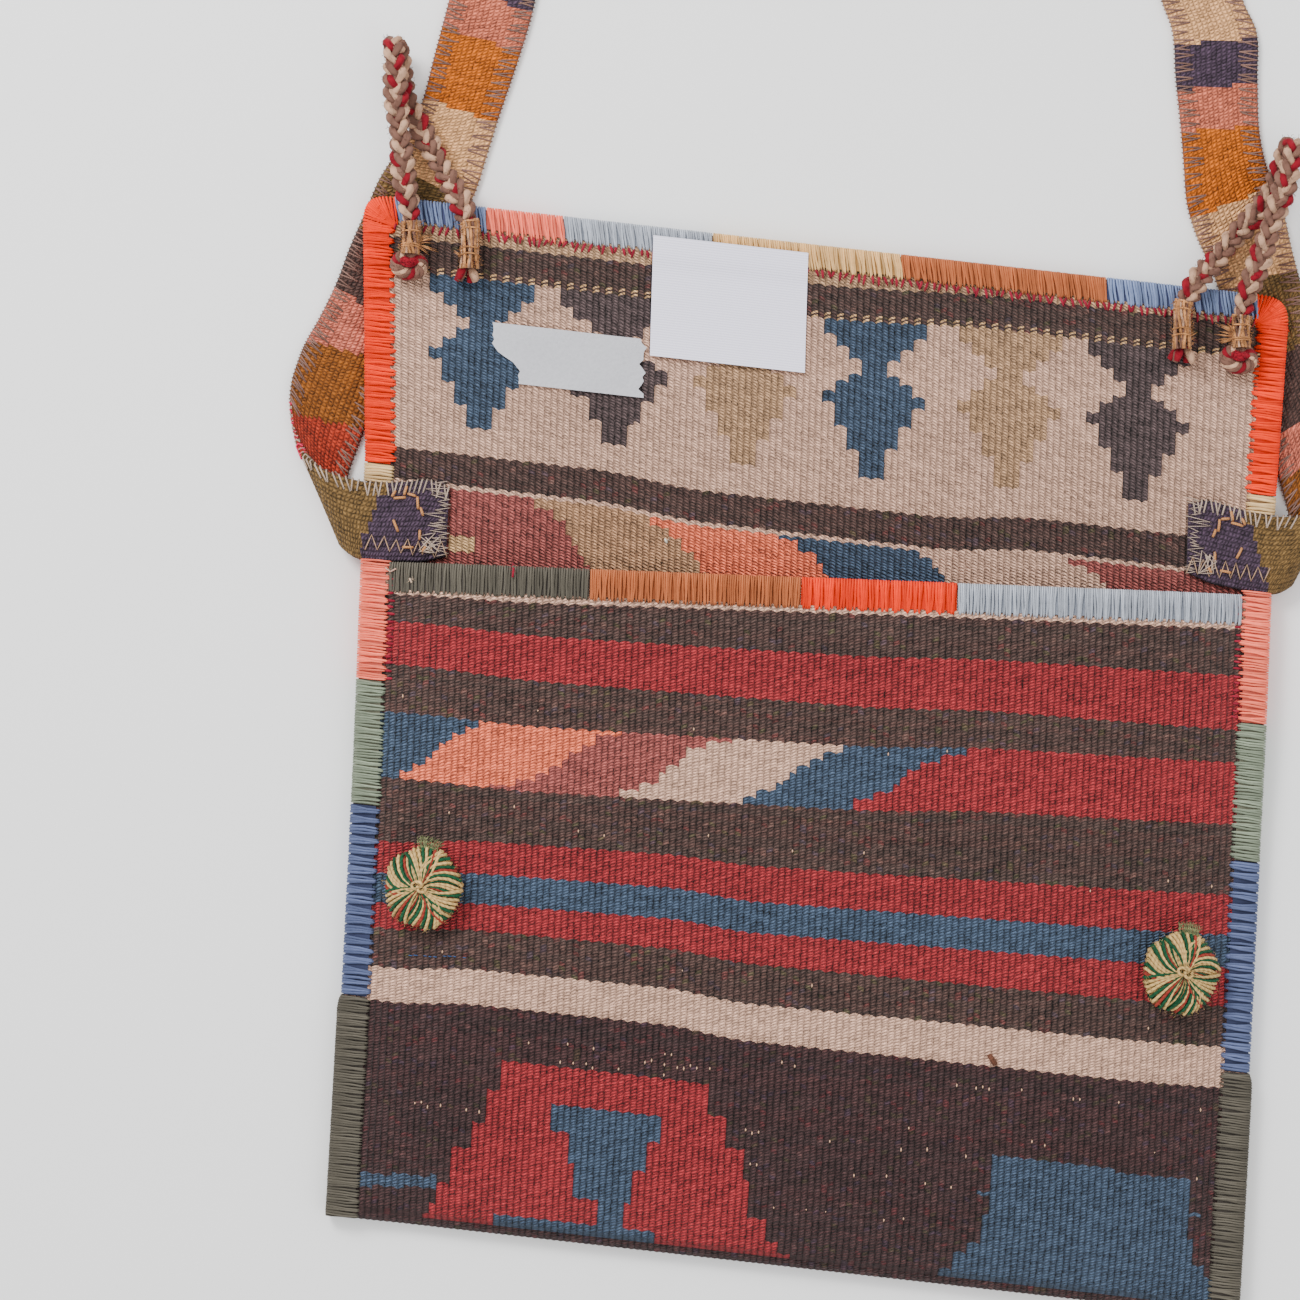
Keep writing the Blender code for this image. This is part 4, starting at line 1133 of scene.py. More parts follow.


# Wool wrapped over the edges

# Wraps that share a stitch hole form a group: pitch, gap between groups, tooth and raggedness are in mm
# Each style's second colour, between, is painted shade: a darker copy of its colour for the sheet that shows
# in the gaps between wraps
Wrap = namedtuple("Wrap", "colour between group pitch gap tooth drawn ragged")
WRAP_STYLES = {
    "grey_green": Wrap((90, 85, 75), (65, 60, 55), 3, 0.95, 0.10, 0.3, 0.15, 0.9),
    "blue": Wrap((90, 100, 135), (50, 55, 80), 3, 1.10, 0.60, 0.5, 0.45, 0.8),
    "top_blue": Wrap((120, 135, 170), (60, 65, 95), 3, 1.00, 0.20, 0.5, 0.30, 0.8),
    "sage": Wrap((130, 140, 120), (100, 100, 85), 3, 0.95, 0.10, 0.8, 0.25, 1.2),
    "salmon": Wrap((255, 120, 95), (190, 90, 75), 3, 0.90, 0.15, 1.0, 0.30, 1.4),
    "cream": Wrap((215, 180, 130), (150, 120, 85), 2, 1.20, 0.10, 0.4, 0.10, 0.6),
    "orange": Wrap((240, 50, 0), (190, 35, 0), 4, 1.00, 0.12, 1.6, 0.35, 0.8),
    "pale_blue": Wrap((170, 175, 185), (120, 125, 135), 4, 0.85, 0.08, 0.7, 0.25, 1.2),
    "gold": Wrap((225, 180, 120), (165, 125, 75), 4, 0.85, 0.08, 0.7, 0.25, 1.2),
    "caramel": Wrap((180, 100, 60), (125, 65, 35), 4, 0.85, 0.08, 0.6, 0.20, 0.9),
}
WRAP_YARN = 0.00056
GREY_BULGE = 0.0014
CREAM_FOOT_DROP = 0.0048
CREAM_TOP_DROP = 0.0028
TOP_REACH = 0.0096
TOP_SLANT = 0.0014
# Wraps round a corner of the flap, and loose ends beside them
CORNER_WRAPS = 17
CORNER_ENDS = 9
SIDE_WRAPS = [("grey_green", 84), ("blue", 72), ("sage", 47), ("salmon", 44)]
TOP_WRAPS = [("blue", 33), ("salmon", 30), ("pale_blue", 58), ("gold", 73), ("caramel", 80), ("blue", 56)]
MOUTH_WRAPS = [("grey_green", 78), ("caramel", 81), ("orange", 60), ("pale_blue", 111)]


def wrap_section(low, high, reach_top, reach_low, bulge=0.0):
    """One wrap as pairs of outward distance and height, from the upper stitch hole to the lower one."""
    lift = WRAP_YARN
    middle = (low + high) / 2
    half = (high - low) / 2 + lift
    return [
        (-reach_top, high - 0.0004),
        (-reach_top + 0.0011, high + lift),
        (-reach_top * 0.5, high + lift * 1.3),
        (-0.0006 + bulge * 0.6, high + lift),
        (CLEARANCE + lift * 0.7 + bulge, middle + half * 0.72),
        (CLEARANCE + lift + bulge, middle),
        (CLEARANCE + lift * 0.7 + bulge, middle - half * 0.72),
        (-0.0006 + bulge * 0.6, low - lift * 0.95),
        (-reach_low * 0.6, low - lift * 0.95),
        (-reach_low, low + 0.0003),
    ]


def wrap_places(start, end, style):
    """Where each wrap goes along an edge, and its place in its group from -1 to 1."""
    cycle = (style.group * style.pitch + style.gap) * MM
    count = max(1, round((end - start) / cycle))
    scale = (end - start) / (count * cycle)
    for number in range(count):
        for k in range(style.group):
            way = number * cycle + (style.gap / 2 + style.pitch * (k + 0.5)) * MM
            yield start + scale * way, 2 * (k + 0.5) / style.group - 1


def out_from(spot, outward, distance, z):
    """A spot moved outwards over the floor and put at a height."""
    return [spot[0] + outward[0] * distance, spot[1] + outward[1] * distance, z]


def wrap_run(yarns, start, end, station, style, random, reach=BINDING_REACH, level=False, bulge=None,
             slant=0.0):
    """Wraps side by side along an edge; those that share a stitch hole draw together at their inner ends."""
    style = WRAP_STYLES[style]
    base = linear(style.colour)
    for t, spot_in_group in wrap_places(start, end, style):
        drawn = -style.drawn * spot_in_group * style.group * style.pitch * MM / 2
        drawn += jitter(random, 0.0009) + slant
        tooth = style.tooth * (1 - abs(spot_in_group)) + jitter(random, style.ragged)
        reach_top = reach - 0.001 + tooth * MM * (0.4 if level else 1.0)
        bow = jitter(random, 0.0008)
        edge, outward, low, high = station(t)
        edge_in, _, _, high_in = station(t + drawn)
        along = unit(station(t + MM)[0] - station(t - MM)[0])
        path = []
        for distance, z in wrap_section(low, high, reach_top, reach - 0.001, bulge(t) if bulge else 0.0):
            share = min(1.0, max(0.0, -distance / reach_top))
            spot = edge + (edge_in - edge) * share + along * bow * math.sin(math.pi * share)
            path.append(out_from(spot, outward, distance,
                                 z + (high_in - high) * share * (z > (low + high) / 2)))
        thick = style.pitch * MM * 0.56 * (0.90 + 0.24 * random.random())
        # The wraps at the ends of a group, beside the gaps, are a little darker as painted shade; the rest of
        # the tone is random
        tone = (0.74 + 0.44 * random.random()) * (1.0 - 0.10 * abs(spot_in_group))
        taper = np.array([0.55, 0.95] + [1.0] * 7 + [0.8])
        yarns.add(path, thick * taper, base * tone, reference=along, sides=6, flat=0.9)
    # A sheet in the darker between colour under the wraps: painted shade in the gaps between them
    lines = []
    for t in np.linspace(start, end, max(2, int((end - start) / 0.004) + 1)):
        edge, outward, low, high = station(t)
        inner = -(reach - 0.0022)
        push = bulge(t) if bulge else 0.0
        section = [(inner, high + 0.0003), (0.0002 + push * 0.6, high + 0.0003),
                   (CLEARANCE + 0.0002 + push, (low + high) / 2), (0.0002 + push * 0.6, low - 0.0002),
                   (inner, low - 0.0002)]
        lines.append([out_from(edge, outward, distance, z) for distance, z in section])
    yarns.shell(lines, linear(style.between))


def side_station_of(side):
    sign = SIDES[side]

    def station(h):
        a = sign * CLOTH_HALF
        low = float(back_bottom(a, h))
        double = float(front_top(a, h))
        fall = float(ease((h - strap_seat(side)) / (STRAP_SEAT / 2)))
        high = double + (low + CLOTH - double) * fall
        closed = (high - low) / 2 * (1 - math.sqrt(swell(h / FOLD_RADIUS)))
        return place(flared(a, h), h, 0.0), (sign, 0.0), low + closed, high - closed
    return station


def top_station(a):
    edge = cloth_place(a, CLOTH_TOP, 0.0)
    upward = unit(edge - cloth_place(a, CLOTH_TOP - BINDING_REACH, 0.0))
    low = float(back_bottom(a, CLOTH_TOP))
    return edge, (upward[0], upward[1]), low, low + CLOTH


def mouth_station(a):
    h = mouth(a) - EDGE
    upward = unit(place(a, h, 0.0) - place(a, h - BINDING_REACH, 0.0))
    high = float(front_top(a, h))
    return place(a, h, 0.0), (upward[0], upward[1]), high - CLOTH, high


def shares(widths):
    return np.cumsum(widths) / sum(widths)


def small_stitches(yarns, start, end, station, random, pitch, reach=BINDING_REACH, length=0.0032,
                   slope=0.0008):
    """Short pointed stitches in the cloth just inside a binding."""
    count = int((end - start) / pitch)
    for k in range(count):
        t = start + (end - start) * (k + 0.5) / count + jitter(random, 0.0008)
        edge, outward, _, high = station(t)
        near = reach - 0.0010
        far = near + length * (0.7 + 0.6 * random.random())
        slant = jitter(random, slope)
        along = unit(station(t + MM)[0] - station(t - MM)[0])
        path = []
        for share, z in ((0.0, 0.0), (0.4, 0.0007), (0.8, 0.0005), (1.0, -0.0004)):
            d = near + (far - near) * share
            path.append([edge[0] - outward[0] * d + along[0] * slant * share,
                         edge[1] - outward[1] * d + along[1] * slant * share, high + z])
        yarns.add(path, np.array([0.0005, 0.00055, 0.0004, 0.0002]),
                  toned(YARN["crimson"], random, 0.75, 0.5), reference=along, sides=5)


def bind(yarns, label, style, material):
    dress(yarns.build(f"wraps_{label}_{style}", material), f"wrap_{style}", f"binding_{label}_{style}")


def side_wraps(side, material, random):
    station = side_station_of(side)
    seat = strap_seat(side)
    ends = [seat * share for share in shares([length for _, length in SIDE_WRAPS])]
    ends[-1] = seat + STRAP_SEAT - CLEARANCE
    start = 0.0
    for (style, _), end in zip(SIDE_WRAPS, ends):
        yarns = Yarns()
        bulge = None
        if style == "grey_green":
            def bulge(t, top=end):
                return GREY_BULGE * float(swell((top - t) / 0.006))
        wrap_run(yarns, start, end - CLEARANCE, station, style, random, bulge=bulge)
        if style == "salmon":
            small_stitches(yarns, start, end - 0.004, station, random, pitch=0.0026)
        bind(yarns, side, style, material)
        start = end
    above_strap = seat + STRAP_SEAT + STRAP_WIDTH + STRAP_SIDE_GAP
    start = above_strap - CREAM_FOOT_DROP
    end = above_strap + CREAM_WRAP_LENGTH - CREAM_TOP_DROP
    yarns = Yarns()
    wrap_run(yarns, start, end - CLEARANCE, station, "cream", random)
    bind(yarns, side, "cream", material)
    yarns = Yarns()
    wrap_run(yarns, end, TOP - BINDING_REACH, station, "orange", random)
    corner_fan(yarns, side, random)
    bind(yarns, side, "orange", material)


def corner_fan(yarns, side, random):
    """Wraps that turn round the flap's corner and all draw in to one spot."""
    sign = SIDES[side]
    colour = linear(WRAP_STYLES["orange"].colour)
    inner = cloth_place(sign * (CLOTH_HALF - BINDING_REACH), CLOTH_TOP - BINDING_REACH, 0.0)
    low = float(back_bottom(CLOTH_HALF, CLOTH_TOP))
    high = low + CLOTH
    leg = BINDING_REACH
    for k in range(CORNER_WRAPS):
        way = 2 * leg * (k + 0.5) / CORNER_WRAPS
        if way < leg:
            edge = cloth_place(sign * CLOTH_HALF, CLOTH_TOP - leg + way, 0.0)
        else:
            edge = cloth_place(sign * (CLOTH_HALF - (way - leg)), CLOTH_TOP, 0.0)
        spot = inner + jitter(random, 0.0015)
        outward = unit(edge - spot)
        reach = float(np.linalg.norm((edge - spot)[:2]))
        path = [out_from(edge, outward, distance, z)
                for distance, z in wrap_section(low, high, reach - 0.0006, reach - 0.001)]
        reference = np.cross(outward, (0, 0, 1))
        yarns.add(path, WRAP_YARN * np.array([0.5, 0.7, 0.9, 1.05, 1.05, 1.05, 1.05, 1.05, 0.8, 0.5]),
                  colour * (0.84 + 0.28 * random.random()), reference=reference, sides=6, flat=0.9)
    for k in range(CORNER_ENDS):
        start = inner + np.array([sign * leg * (0.4 + 0.4 * random.random()), leg * (0.75 - 0.09 * k), 0])
        reach = np.array([sign * (0.0045 + 0.0015 * random.random()), -0.002 - 0.004 * random.random(), 0])
        path = [start + [0, 0, high + 0.0010], start + reach * 0.5 + [0, 0, high + 0.0006],
                start + reach + [0, 0, STRAP_THICK + 0.0006]]
        yarns.add(path, 0.00034, colour * (0.8 + 0.3 * random.random()), sides=5)


def edge_wraps(label, wraps, station, material, random, level):
    reach = BINDING_REACH + 0.0006 if level else TOP_REACH
    start = -HALF_WIDTH + BINDING_REACH + CLEARANCE
    length = -2 * start
    before = start
    for number, ((style, _), share) in enumerate(zip(wraps, shares([width for _, width in wraps])), 1):
        end = start + length * share
        yarns = Yarns()
        look = f"{label}_{style}" if f"{label}_{style}" in WRAP_STYLES else style
        wrap_run(yarns, before, end - CLEARANCE, station, look, random, level=level, reach=reach,
                 slant=0.0 if level else TOP_SLANT)
        if not level:
            small_stitches(yarns, before, end, station, random, pitch=0.0024, reach=reach, length=0.0030,
                           slope=0.0034)
        bind(yarns, f"{label}_{number}", style, material)
        before = end


# Shoulder strap

TRACE_ORIGIN = (328, 1217)
TRACE_SCALE = 0.385 * MM
# Cross lines of the sewn end, the turn and the leg, traced over the photo: x, y in pixels and z in mm
STRAP_TRACED = [
    ((446, 557, 7.9), (449, 488, 7.9)),
    ((424, 562, 7.9), (430, 481, 7.9)),
    ((400, 562, 7.9), (404, 482, 7.9)),
    ((380, 562, 7.9), (378, 483, 7.9)),
    ((366, 561, 7.9), (355, 480, 7.9)),
    ((358, 559, 7.9), (334, 474, 7.7)),
    ((352, 556, 7.8), (318, 466, 7.4)),
    ((347, 552, 7.3), (311, 460, 6.9)),
    ((343, 548, 6.2), (307, 457, 6.3)),
    ((341, 543, 4.6), (303, 453, 5.7)),
    ((340, 538, 2.9), (300, 448, 5.0)),
    ((340, 532, 1.7), (297, 442, 4.4)),
    ((341, 524, 1.3), (294, 434, 3.9)),
    ((342, 511, 1.2), (291, 423, 3.3)),
    ((343, 494, 1.2), (289, 409, 2.7)),
    ((347, 473, 1.2), (288.5, 395, 2.2)),
    ((354, 453, 1.2), (291, 377, 1.8)),
    ((361, 434, 1.2), (296.5, 360, 1.5)),
    ((377, 392, 1.2), (305, 340, 1.3)),
    ((391, 355, 1.2), (318.5, 316, 1.2)),
    ((407, 317, 1.2), (335, 282, 1.2)),
    ((423, 281, 1.2), (348.5, 246, 1.2)),
    ((441, 246, 1.2), (363, 213, 1.2)),
    ((460, 217, 1.2), (379, 176, 1.2)),
    ((475, 188, 1.2), (396, 150, 1.2)),
    ((487, 150, 1.2), (409, 129, 1.2)),
    ((497, 118, 1.2), (420, 104, 1.2)),
    ((514, 68, 1.2), (434, 52, 1.2)),
    ((529, 20, 1.2), (447, 3, 1.2)),
]
STRAP_FOLD_AT = 9
# Middle of the leg as the solids have it: share of the way up the flap, and inset from the side in mm
STRAP_LEG = [(0.18, -14.5), (0.39, -6.2), (0.67, 7.3), (1.0, 23.4), (1.34, 30.9), (1.71, 36.4)]
STRAP_ARCH_ANGLES = (25, 48, 70)
STRAP_RIBS = 16
STRAP_ROW = 0.0018
STRAP_BLOCKS_SEWN = [("navy", 29), ("olive", 90)]
STRAP_BLOCKS_LEG = [("strap_red", 305), ("mustard_brown", 332), ("strap_salmon", 349), ("strap_dark", 373),
                    ("olive", 400), ("strap_cream", 429), ("mustard", 457), ("strap_pink", 473),
                    ("navy", 490)]
STRAP_BLOCKS_ARCH = [("olive", 30), ("strap_red", 26), ("strap_cream", 34), ("strap_dark", 22),
                     ("mustard", 30), ("strap_salmon", 26), ("navy", 28)]
OVERCAST = (125, 95, 85)
OVERCAST_THREAD = 0.0003
RIM_PALE = (170, 150, 135)
RIM_PINK = (212, 40, 84)
ZIGZAG_TAN = (168, 136, 110)
STRAP_YARN = {
    "navy": (65, 50, 65),
    "olive": (105, 80, 45),
    "strap_red": (150, 45, 25),
    "mustard_brown": (125, 70, 20),
    "mustard": (180, 90, 10),
    "strap_salmon": (190, 100, 80),
    "strap_pink": (190, 100, 75),
    "strap_dark": (70, 50, 45),
    "strap_cream": (215, 160, 110),
}


def traced_spot(x, y):
    """Offset from the middle line and height up the bag of a pixel of the photo."""
    across = x - TRACE_ORIGIN[0]
    up = TRACE_ORIGIN[1] - y
    turn = (math.cos(VIEW_TURN), math.sin(VIEW_TURN))
    h = (across * turn[1] + up * turn[0]) * TRACE_SCALE
    return (across * turn[0] - up * turn[1]) * TRACE_SCALE + lean(h) - HALF_WIDTH, h


def traced(side, x, y, z):
    """World point of a spot traced over the photo's left side, or its mirror on the right."""
    a, h = traced_spot(x, y)
    return place(-SIDES[side] * a, h + strap_seat(side) - strap_seat("left"), z * MM)


def strap_half(side):
    return [(traced(side, *low), traced(side, *high)) for low, high in STRAP_TRACED]


def strap_leg_points(side):
    sign = SIDES[side]
    fold = strap_seat(side) + STRAP_SEAT + STRAP_WIDTH
    return [place(sign * (HALF_WIDTH - inset * MM), fold + (TOP - fold) * share, STRAP_THICK / 2)
            for share, inset in STRAP_LEG]


def strap_lines():
    """Cross lines of the whole strap, as arrays of its two edges."""
    left = strap_leg_points("left")
    right = strap_leg_points("right")
    foot = (left[-1] + right[-1]) / 2
    half = (right[-1] - left[-1]) / 2
    rise = TOP + STRAP_ARCH - STRAP_WIDTH / 2 - ORIGIN_HEIGHT - foot[1]
    arch = []
    for angle in [*STRAP_ARCH_ANGLES, 90, *[180 - angle for angle in STRAP_ARCH_ANGLES[::-1]]]:
        turn = math.radians(angle)
        arch.append(foot - half * math.cos(turn) + np.array([0, rise * math.sin(turn), 0]))
    route = resample(left + arch + right[::-1], STRAP_POINTS)
    along = directions(route)
    inward = np.stack([along[:, 1], -along[:, 0], np.zeros(len(route))], axis=1) * STRAP_WIDTH / 2
    lines = strap_half("left")
    mirrored = strap_half("right")[::-1]
    above = max(lines[-1][0][1], mirrored[0][0][1]) + 0.012
    lines += [(spot + step, spot - step) for spot, step in zip(route, inward) if spot[1] > above]
    lines += mirrored
    return np.array([line[0] for line in lines]), np.array([line[1] for line in lines])


def strap_colour(run, share, height, total, fold_run):
    """Yarn of the strap at a distance along it, a share across it and a height up the bag, in metres."""
    end = min(run, total - run)
    step = (2.5 - math.floor(share * 6)) * (0.0023 if end < fold_run else 0.0007)
    if end < fold_run:
        return next(yarn for yarn, limit in STRAP_BLOCKS_SEWN if end - step < limit * MM)
    if height + step < STRAP_BLOCKS_LEG[-1][1] * MM:
        return next(yarn for yarn, limit in STRAP_BLOCKS_LEG if height + step < limit * MM)
    cycle = sum(length for _, length in STRAP_BLOCKS_ARCH) * MM
    way = (end + step) % cycle
    for yarn, length in STRAP_BLOCKS_ARCH:
        way -= length * MM
        if way < 0:
            return yarn
    return "olive"


def strap(material, thread_material, random):
    first, second = strap_lines()
    middles = (first + second) / 2
    knots = lengths_along(middles)
    total = knots[-1]
    fold_run = knots[STRAP_FOLD_AT]
    runs = np.linspace(0, total, int(total / STRAP_ROW) + 1)
    low = smooth_through(runs, knots, first)
    high = smooth_through(runs, knots, second)
    centre = (low + high) / 2
    along = directions(centre)
    normal = unit(np.cross(high - low, along))
    top_shares = np.linspace(0, 1, 2 * STRAP_RIBS + 1)
    low_shares = np.linspace(1, 0, STRAP_RIBS + 1)
    rings = []
    for k in range(len(runs)):
        relief = np.where(np.arange(len(top_shares)) % 2 == 0, -0.00014, 0.0)
        edge_round = 0.0006 * (np.abs(top_shares - 0.5) > 0.48)
        top = (low[k] + top_shares[:, None] * (high[k] - low[k])
               + normal[k] * (STRAP_THICK / 2 + relief - edge_round)[:, None])
        bottom = low[k] + low_shares[:, None] * (high[k] - low[k]) - normal[k] * STRAP_THICK / 2
        rings.append(np.concatenate([top, bottom]))
    width = len(rings[0])
    shares_round = np.concatenate([top_shares, low_shares])
    palette = {yarn: linear(colour) for yarn, colour in STRAP_YARN.items()}
    faces, colours, uvs = list(quads(len(rings), width)), [], []
    for k in range(len(rings) - 1):
        height = centre[k][1] + ORIGIN_HEIGHT
        near_turn = 1 - float(ease((height - 0.325) / 0.03))
        tint = 1 + jitter(random, 0.10)
        for j in range(width):
            after = (j + 1) % width
            share = (shares_round[j] + shares_round[after]) / 2
            own = rings[k][j][1] + ORIGIN_HEIGHT
            yarn = strap_colour(runs[k], share, height + (own - height) * near_turn, total, fold_run)
            colours.append(palette[yarn] * (tint + jitter(random, 0.2)))
            u, v = shares_round[j] * STRAP_RIBS, shares_round[after] * STRAP_RIBS
            uvs += [(u, runs[k] / MM), (v, runs[k] / MM), (v, runs[k + 1] / MM), (u, runs[k + 1] / MM)]
    for start in (0, (len(rings) - 1) * width):
        face = tuple(start + j for j in range(width))
        faces.append(face[::-1] if start == 0 else face)
        uvs += [(0, 0)] * width
        colours.append(palette["navy"])
    piece = mesh_object("strap_weave", np.concatenate(rings), faces, colours, uvs, "weave", material)
    dress(piece, "strap_wool", "strap")
    overcast = strap_overcast(runs, low, high, normal, along, fold_run, thread_material, random)
    for side in SIDES:
        zigzag(side, thread_material, random)


def strap_overcast(runs, low, high, normal, along, fold_run, material, random):
    """Thread over both long edges of the strap, a little slanted."""
    yarns = Yarns()
    total = runs[-1]
    for edge_line, other in ((low, high), (high, low)):
        inward = unit(other - edge_line)
        margin = 0.014 if edge_line is low else 0.024
        at = fold_run + margin
        number = 0
        while at < total - fold_run - margin:
            k = int(at / total * (len(runs) - 1))
            number += 1
            slant = (0.0026 if number % 2 else -0.0006) + jitter(random, 0.0010)
            top_reach = 0.0078 + 0.0034 * random.random()
            path = []
            for reach, side_of, share in ((top_reach, 1, 1.0), (top_reach * 0.5, 1, 0.5), (0.0004, 1, 0.0),
                                          (-0.0004, 0, 0.0), (0.0004, -1, 0.0), (top_reach * 0.7, -1, -0.6)):
                lift = (STRAP_THICK / 2 + 0.00016) * side_of
                spot = edge_line[k] + inward[k] * reach + normal[k] * lift + along[k] * slant * share
                path.append([spot[0], spot[1], max(spot[2], OVERCAST_THREAD)])
            yarns.add(path, OVERCAST_THREAD, toned(OVERCAST, random, 0.75, 0.5), reference=along[k], sides=4)
            at += 0.0012 + 0.0006 * random.random()
    for at_end in (False, True):
        inward = unit(low - high)
        at = 0.0015
        while at < fold_run + 0.025:
            k = int((total - at if at_end else at) / total * (len(runs) - 1))
            pink = at > fold_run + 0.001
            reach = (0.0022 if pink else 0.0042) + 0.0012 * random.random()
            hook = along[k] * (0.0012 if random.random() < 0.5 else -0.0008)
            lift = normal[k] * (STRAP_THICK / 2 + 0.0002)
            path = [high[k] + inward[k] * (reach * share) + hook * share + lift * side_of
                    for share, side_of in ((1.0, 1), (0.5, 1), (0.05, 1), (-0.12, 0), (0.3, -1))]
            path = [(spot[0], spot[1], max(spot[2], OVERCAST_THREAD)) for spot in path]
            colour = RIM_PINK if pink and random.random() < 0.6 else RIM_PALE
            yarns.add(path, 0.00034, toned(colour, random, 0.75, 0.4), reference=along[k], sides=4)
            at += 0.0009 if pink else 0.0014 + 0.0006 * random.random()
    return dress(yarns.build("strap_overcast", material), "stitch_thread")


# Thick tacking stitches of the sewn end: inset, rise above its foot, turn in degrees, length, in mm
TACKS = [(14.4, 23.2, 10, 4.5), (16.5, 26.2, 75, 3.5), (19.0, 24.8, 170, 3.0), (21.4, 22.0, 95, 4.5),
         (23.1, 18.8, 110, 3.0), (13.2, 12.3, 115, 4.5), (22.6, 9.8, 90, 3.5), (18.2, 4.6, 5, 4.0),
         (24.4, 4.6, 60, 3.0), (12.0, 24.5, 60, 2.5)]


def zigzag(side, material, random):
    """Zigzag and tacking thread over the strap's sewn end."""
    sign = SIDES[side]
    seat = strap_seat(side) + STRAP_SEAT
    z = STRAP_TOP_Z + 0.0003
    yarns = Yarns()

    def at(inset, rise, lift=0.0):
        return place(sign * (HALF_WIDTH - inset), seat + rise, z + lift)

    def run(points, radius, colour):
        dense = []
        for before, after in zip(points, points[1:]):
            dense += [before, (before + after) / 2 + (0, 0, 0.0002)]
        dense.append(points[-1])
        yarns.add(dense, radius, linear(colour), sides=5)

    points = []
    inset = 0.0335
    number = 0
    while inset > 0.001:
        number += 1
        far = 0.0010 * random.random() if number % 2 else 0.0054 + 0.0024 * random.random()
        points.append(at(inset, 0.0014 + far))
        inset -= 0.0017 + 0.0009 * random.random()
    run(points, 0.00026, ZIGZAG_TAN)
    points = []
    rise = 0.0024
    while rise < 0.032:
        number += 1
        far = random.random() ** 2
        points.append(at(0.0345 - 0.0024 * random.random() if number % 2 else 0.0298 - 0.0070 * far, rise))
        rise += 0.0003 + 0.0013 * random.random()
    run(points, 0.00018, RIM_PALE)
    points = []
    for _ in range(16):
        points.append(at(0.0215 + 0.0095 * random.random(), 0.0026 + 0.0095 * random.random(), 0.0003))
    run(points, 0.00022, RIM_PALE)
    for inset, rise, turn, reach in TACKS:
        step = np.array([math.cos(math.radians(turn)), math.sin(math.radians(turn))]) * reach * MM / 2
        inset, rise = inset * MM, rise * MM
        run([at(inset - step[0], rise - step[1], -0.0003), at(inset, rise, 0.0004),
             at(inset + step[0], rise + step[1], -0.0003)], 0.00055, WHIPPING_TAN)
    dress(yarns.build(f"zigzag_{side}", material), "stitch_thread", f"strap_stitching_{side}")


# Wound buttons

BUTTON_CREAM = (188, 156, 100)
BUTTON_GREEN = (24, 72, 46)
BUTTON_RED = (134, 50, 40)
BUTTON_PALE_GREEN = (128, 134, 92)
BUTTON_CORE = (120, 104, 76)
STALK_YARN = (190, 168, 124)
STALK_THREADS = 14
LOOSE_GREEN_ENDS = 70
# Hairs round the button and on each coil of its knot
BUTTON_HAIRS = 160
COIL_HAIRS = 14
# Coils of the centre knot: place across and forward, radius, lift and where each starts
KNOT_COILS = [
    (-0.0013, 0.0008, 0.0017, 0.0003, 0.0),
    (0.0011, -0.0002, 0.0015, 0.0006, 2.2),
    (-0.0002, 0.0014, 0.0012, 0.0009, 4.0),
]
# Wound layers: strands, where they start and how far round they go in degrees, swirl, how far they stand off
BUTTON_LAYERS = [
    (60, 0, 360, 0.55, -0.0005),
    (9, 5, 64, 0.95, 0.0002),
    (9, 66, 62, -0.35, 0.0003),
    (9, 126, 62, 0.85, 0.0002),
    (9, 188, 64, -0.20, 0.0003),
    (9, 250, 60, 0.90, 0.0002),
    (9, 306, 60, -0.30, 0.0003),
]
BUTTON_PATTERN = [BUTTON_CREAM, BUTTON_GREEN, BUTTON_CREAM, BUTTON_RED, BUTTON_GREEN, BUTTON_CREAM,
                  BUTTON_GREEN, BUTTON_CREAM, BUTTON_CREAM]


def button_frame(side):
    sign = SIDES[side]
    a = sign * (HALF_WIDTH - BUTTON_INSET)
    h = BUTTON_RISE
    step = STALK / 2

    def surface(offset, height):
        return place(offset, height, front_top(offset, height))

    base = surface(a, h)
    across = unit(surface(a + step, h) - surface(a - step, h))
    rising = surface(a, h + step) - surface(a, h - step)
    normal = unit(np.cross(across, rising))
    forward = np.cross(normal, across)
    return base, across, forward, normal


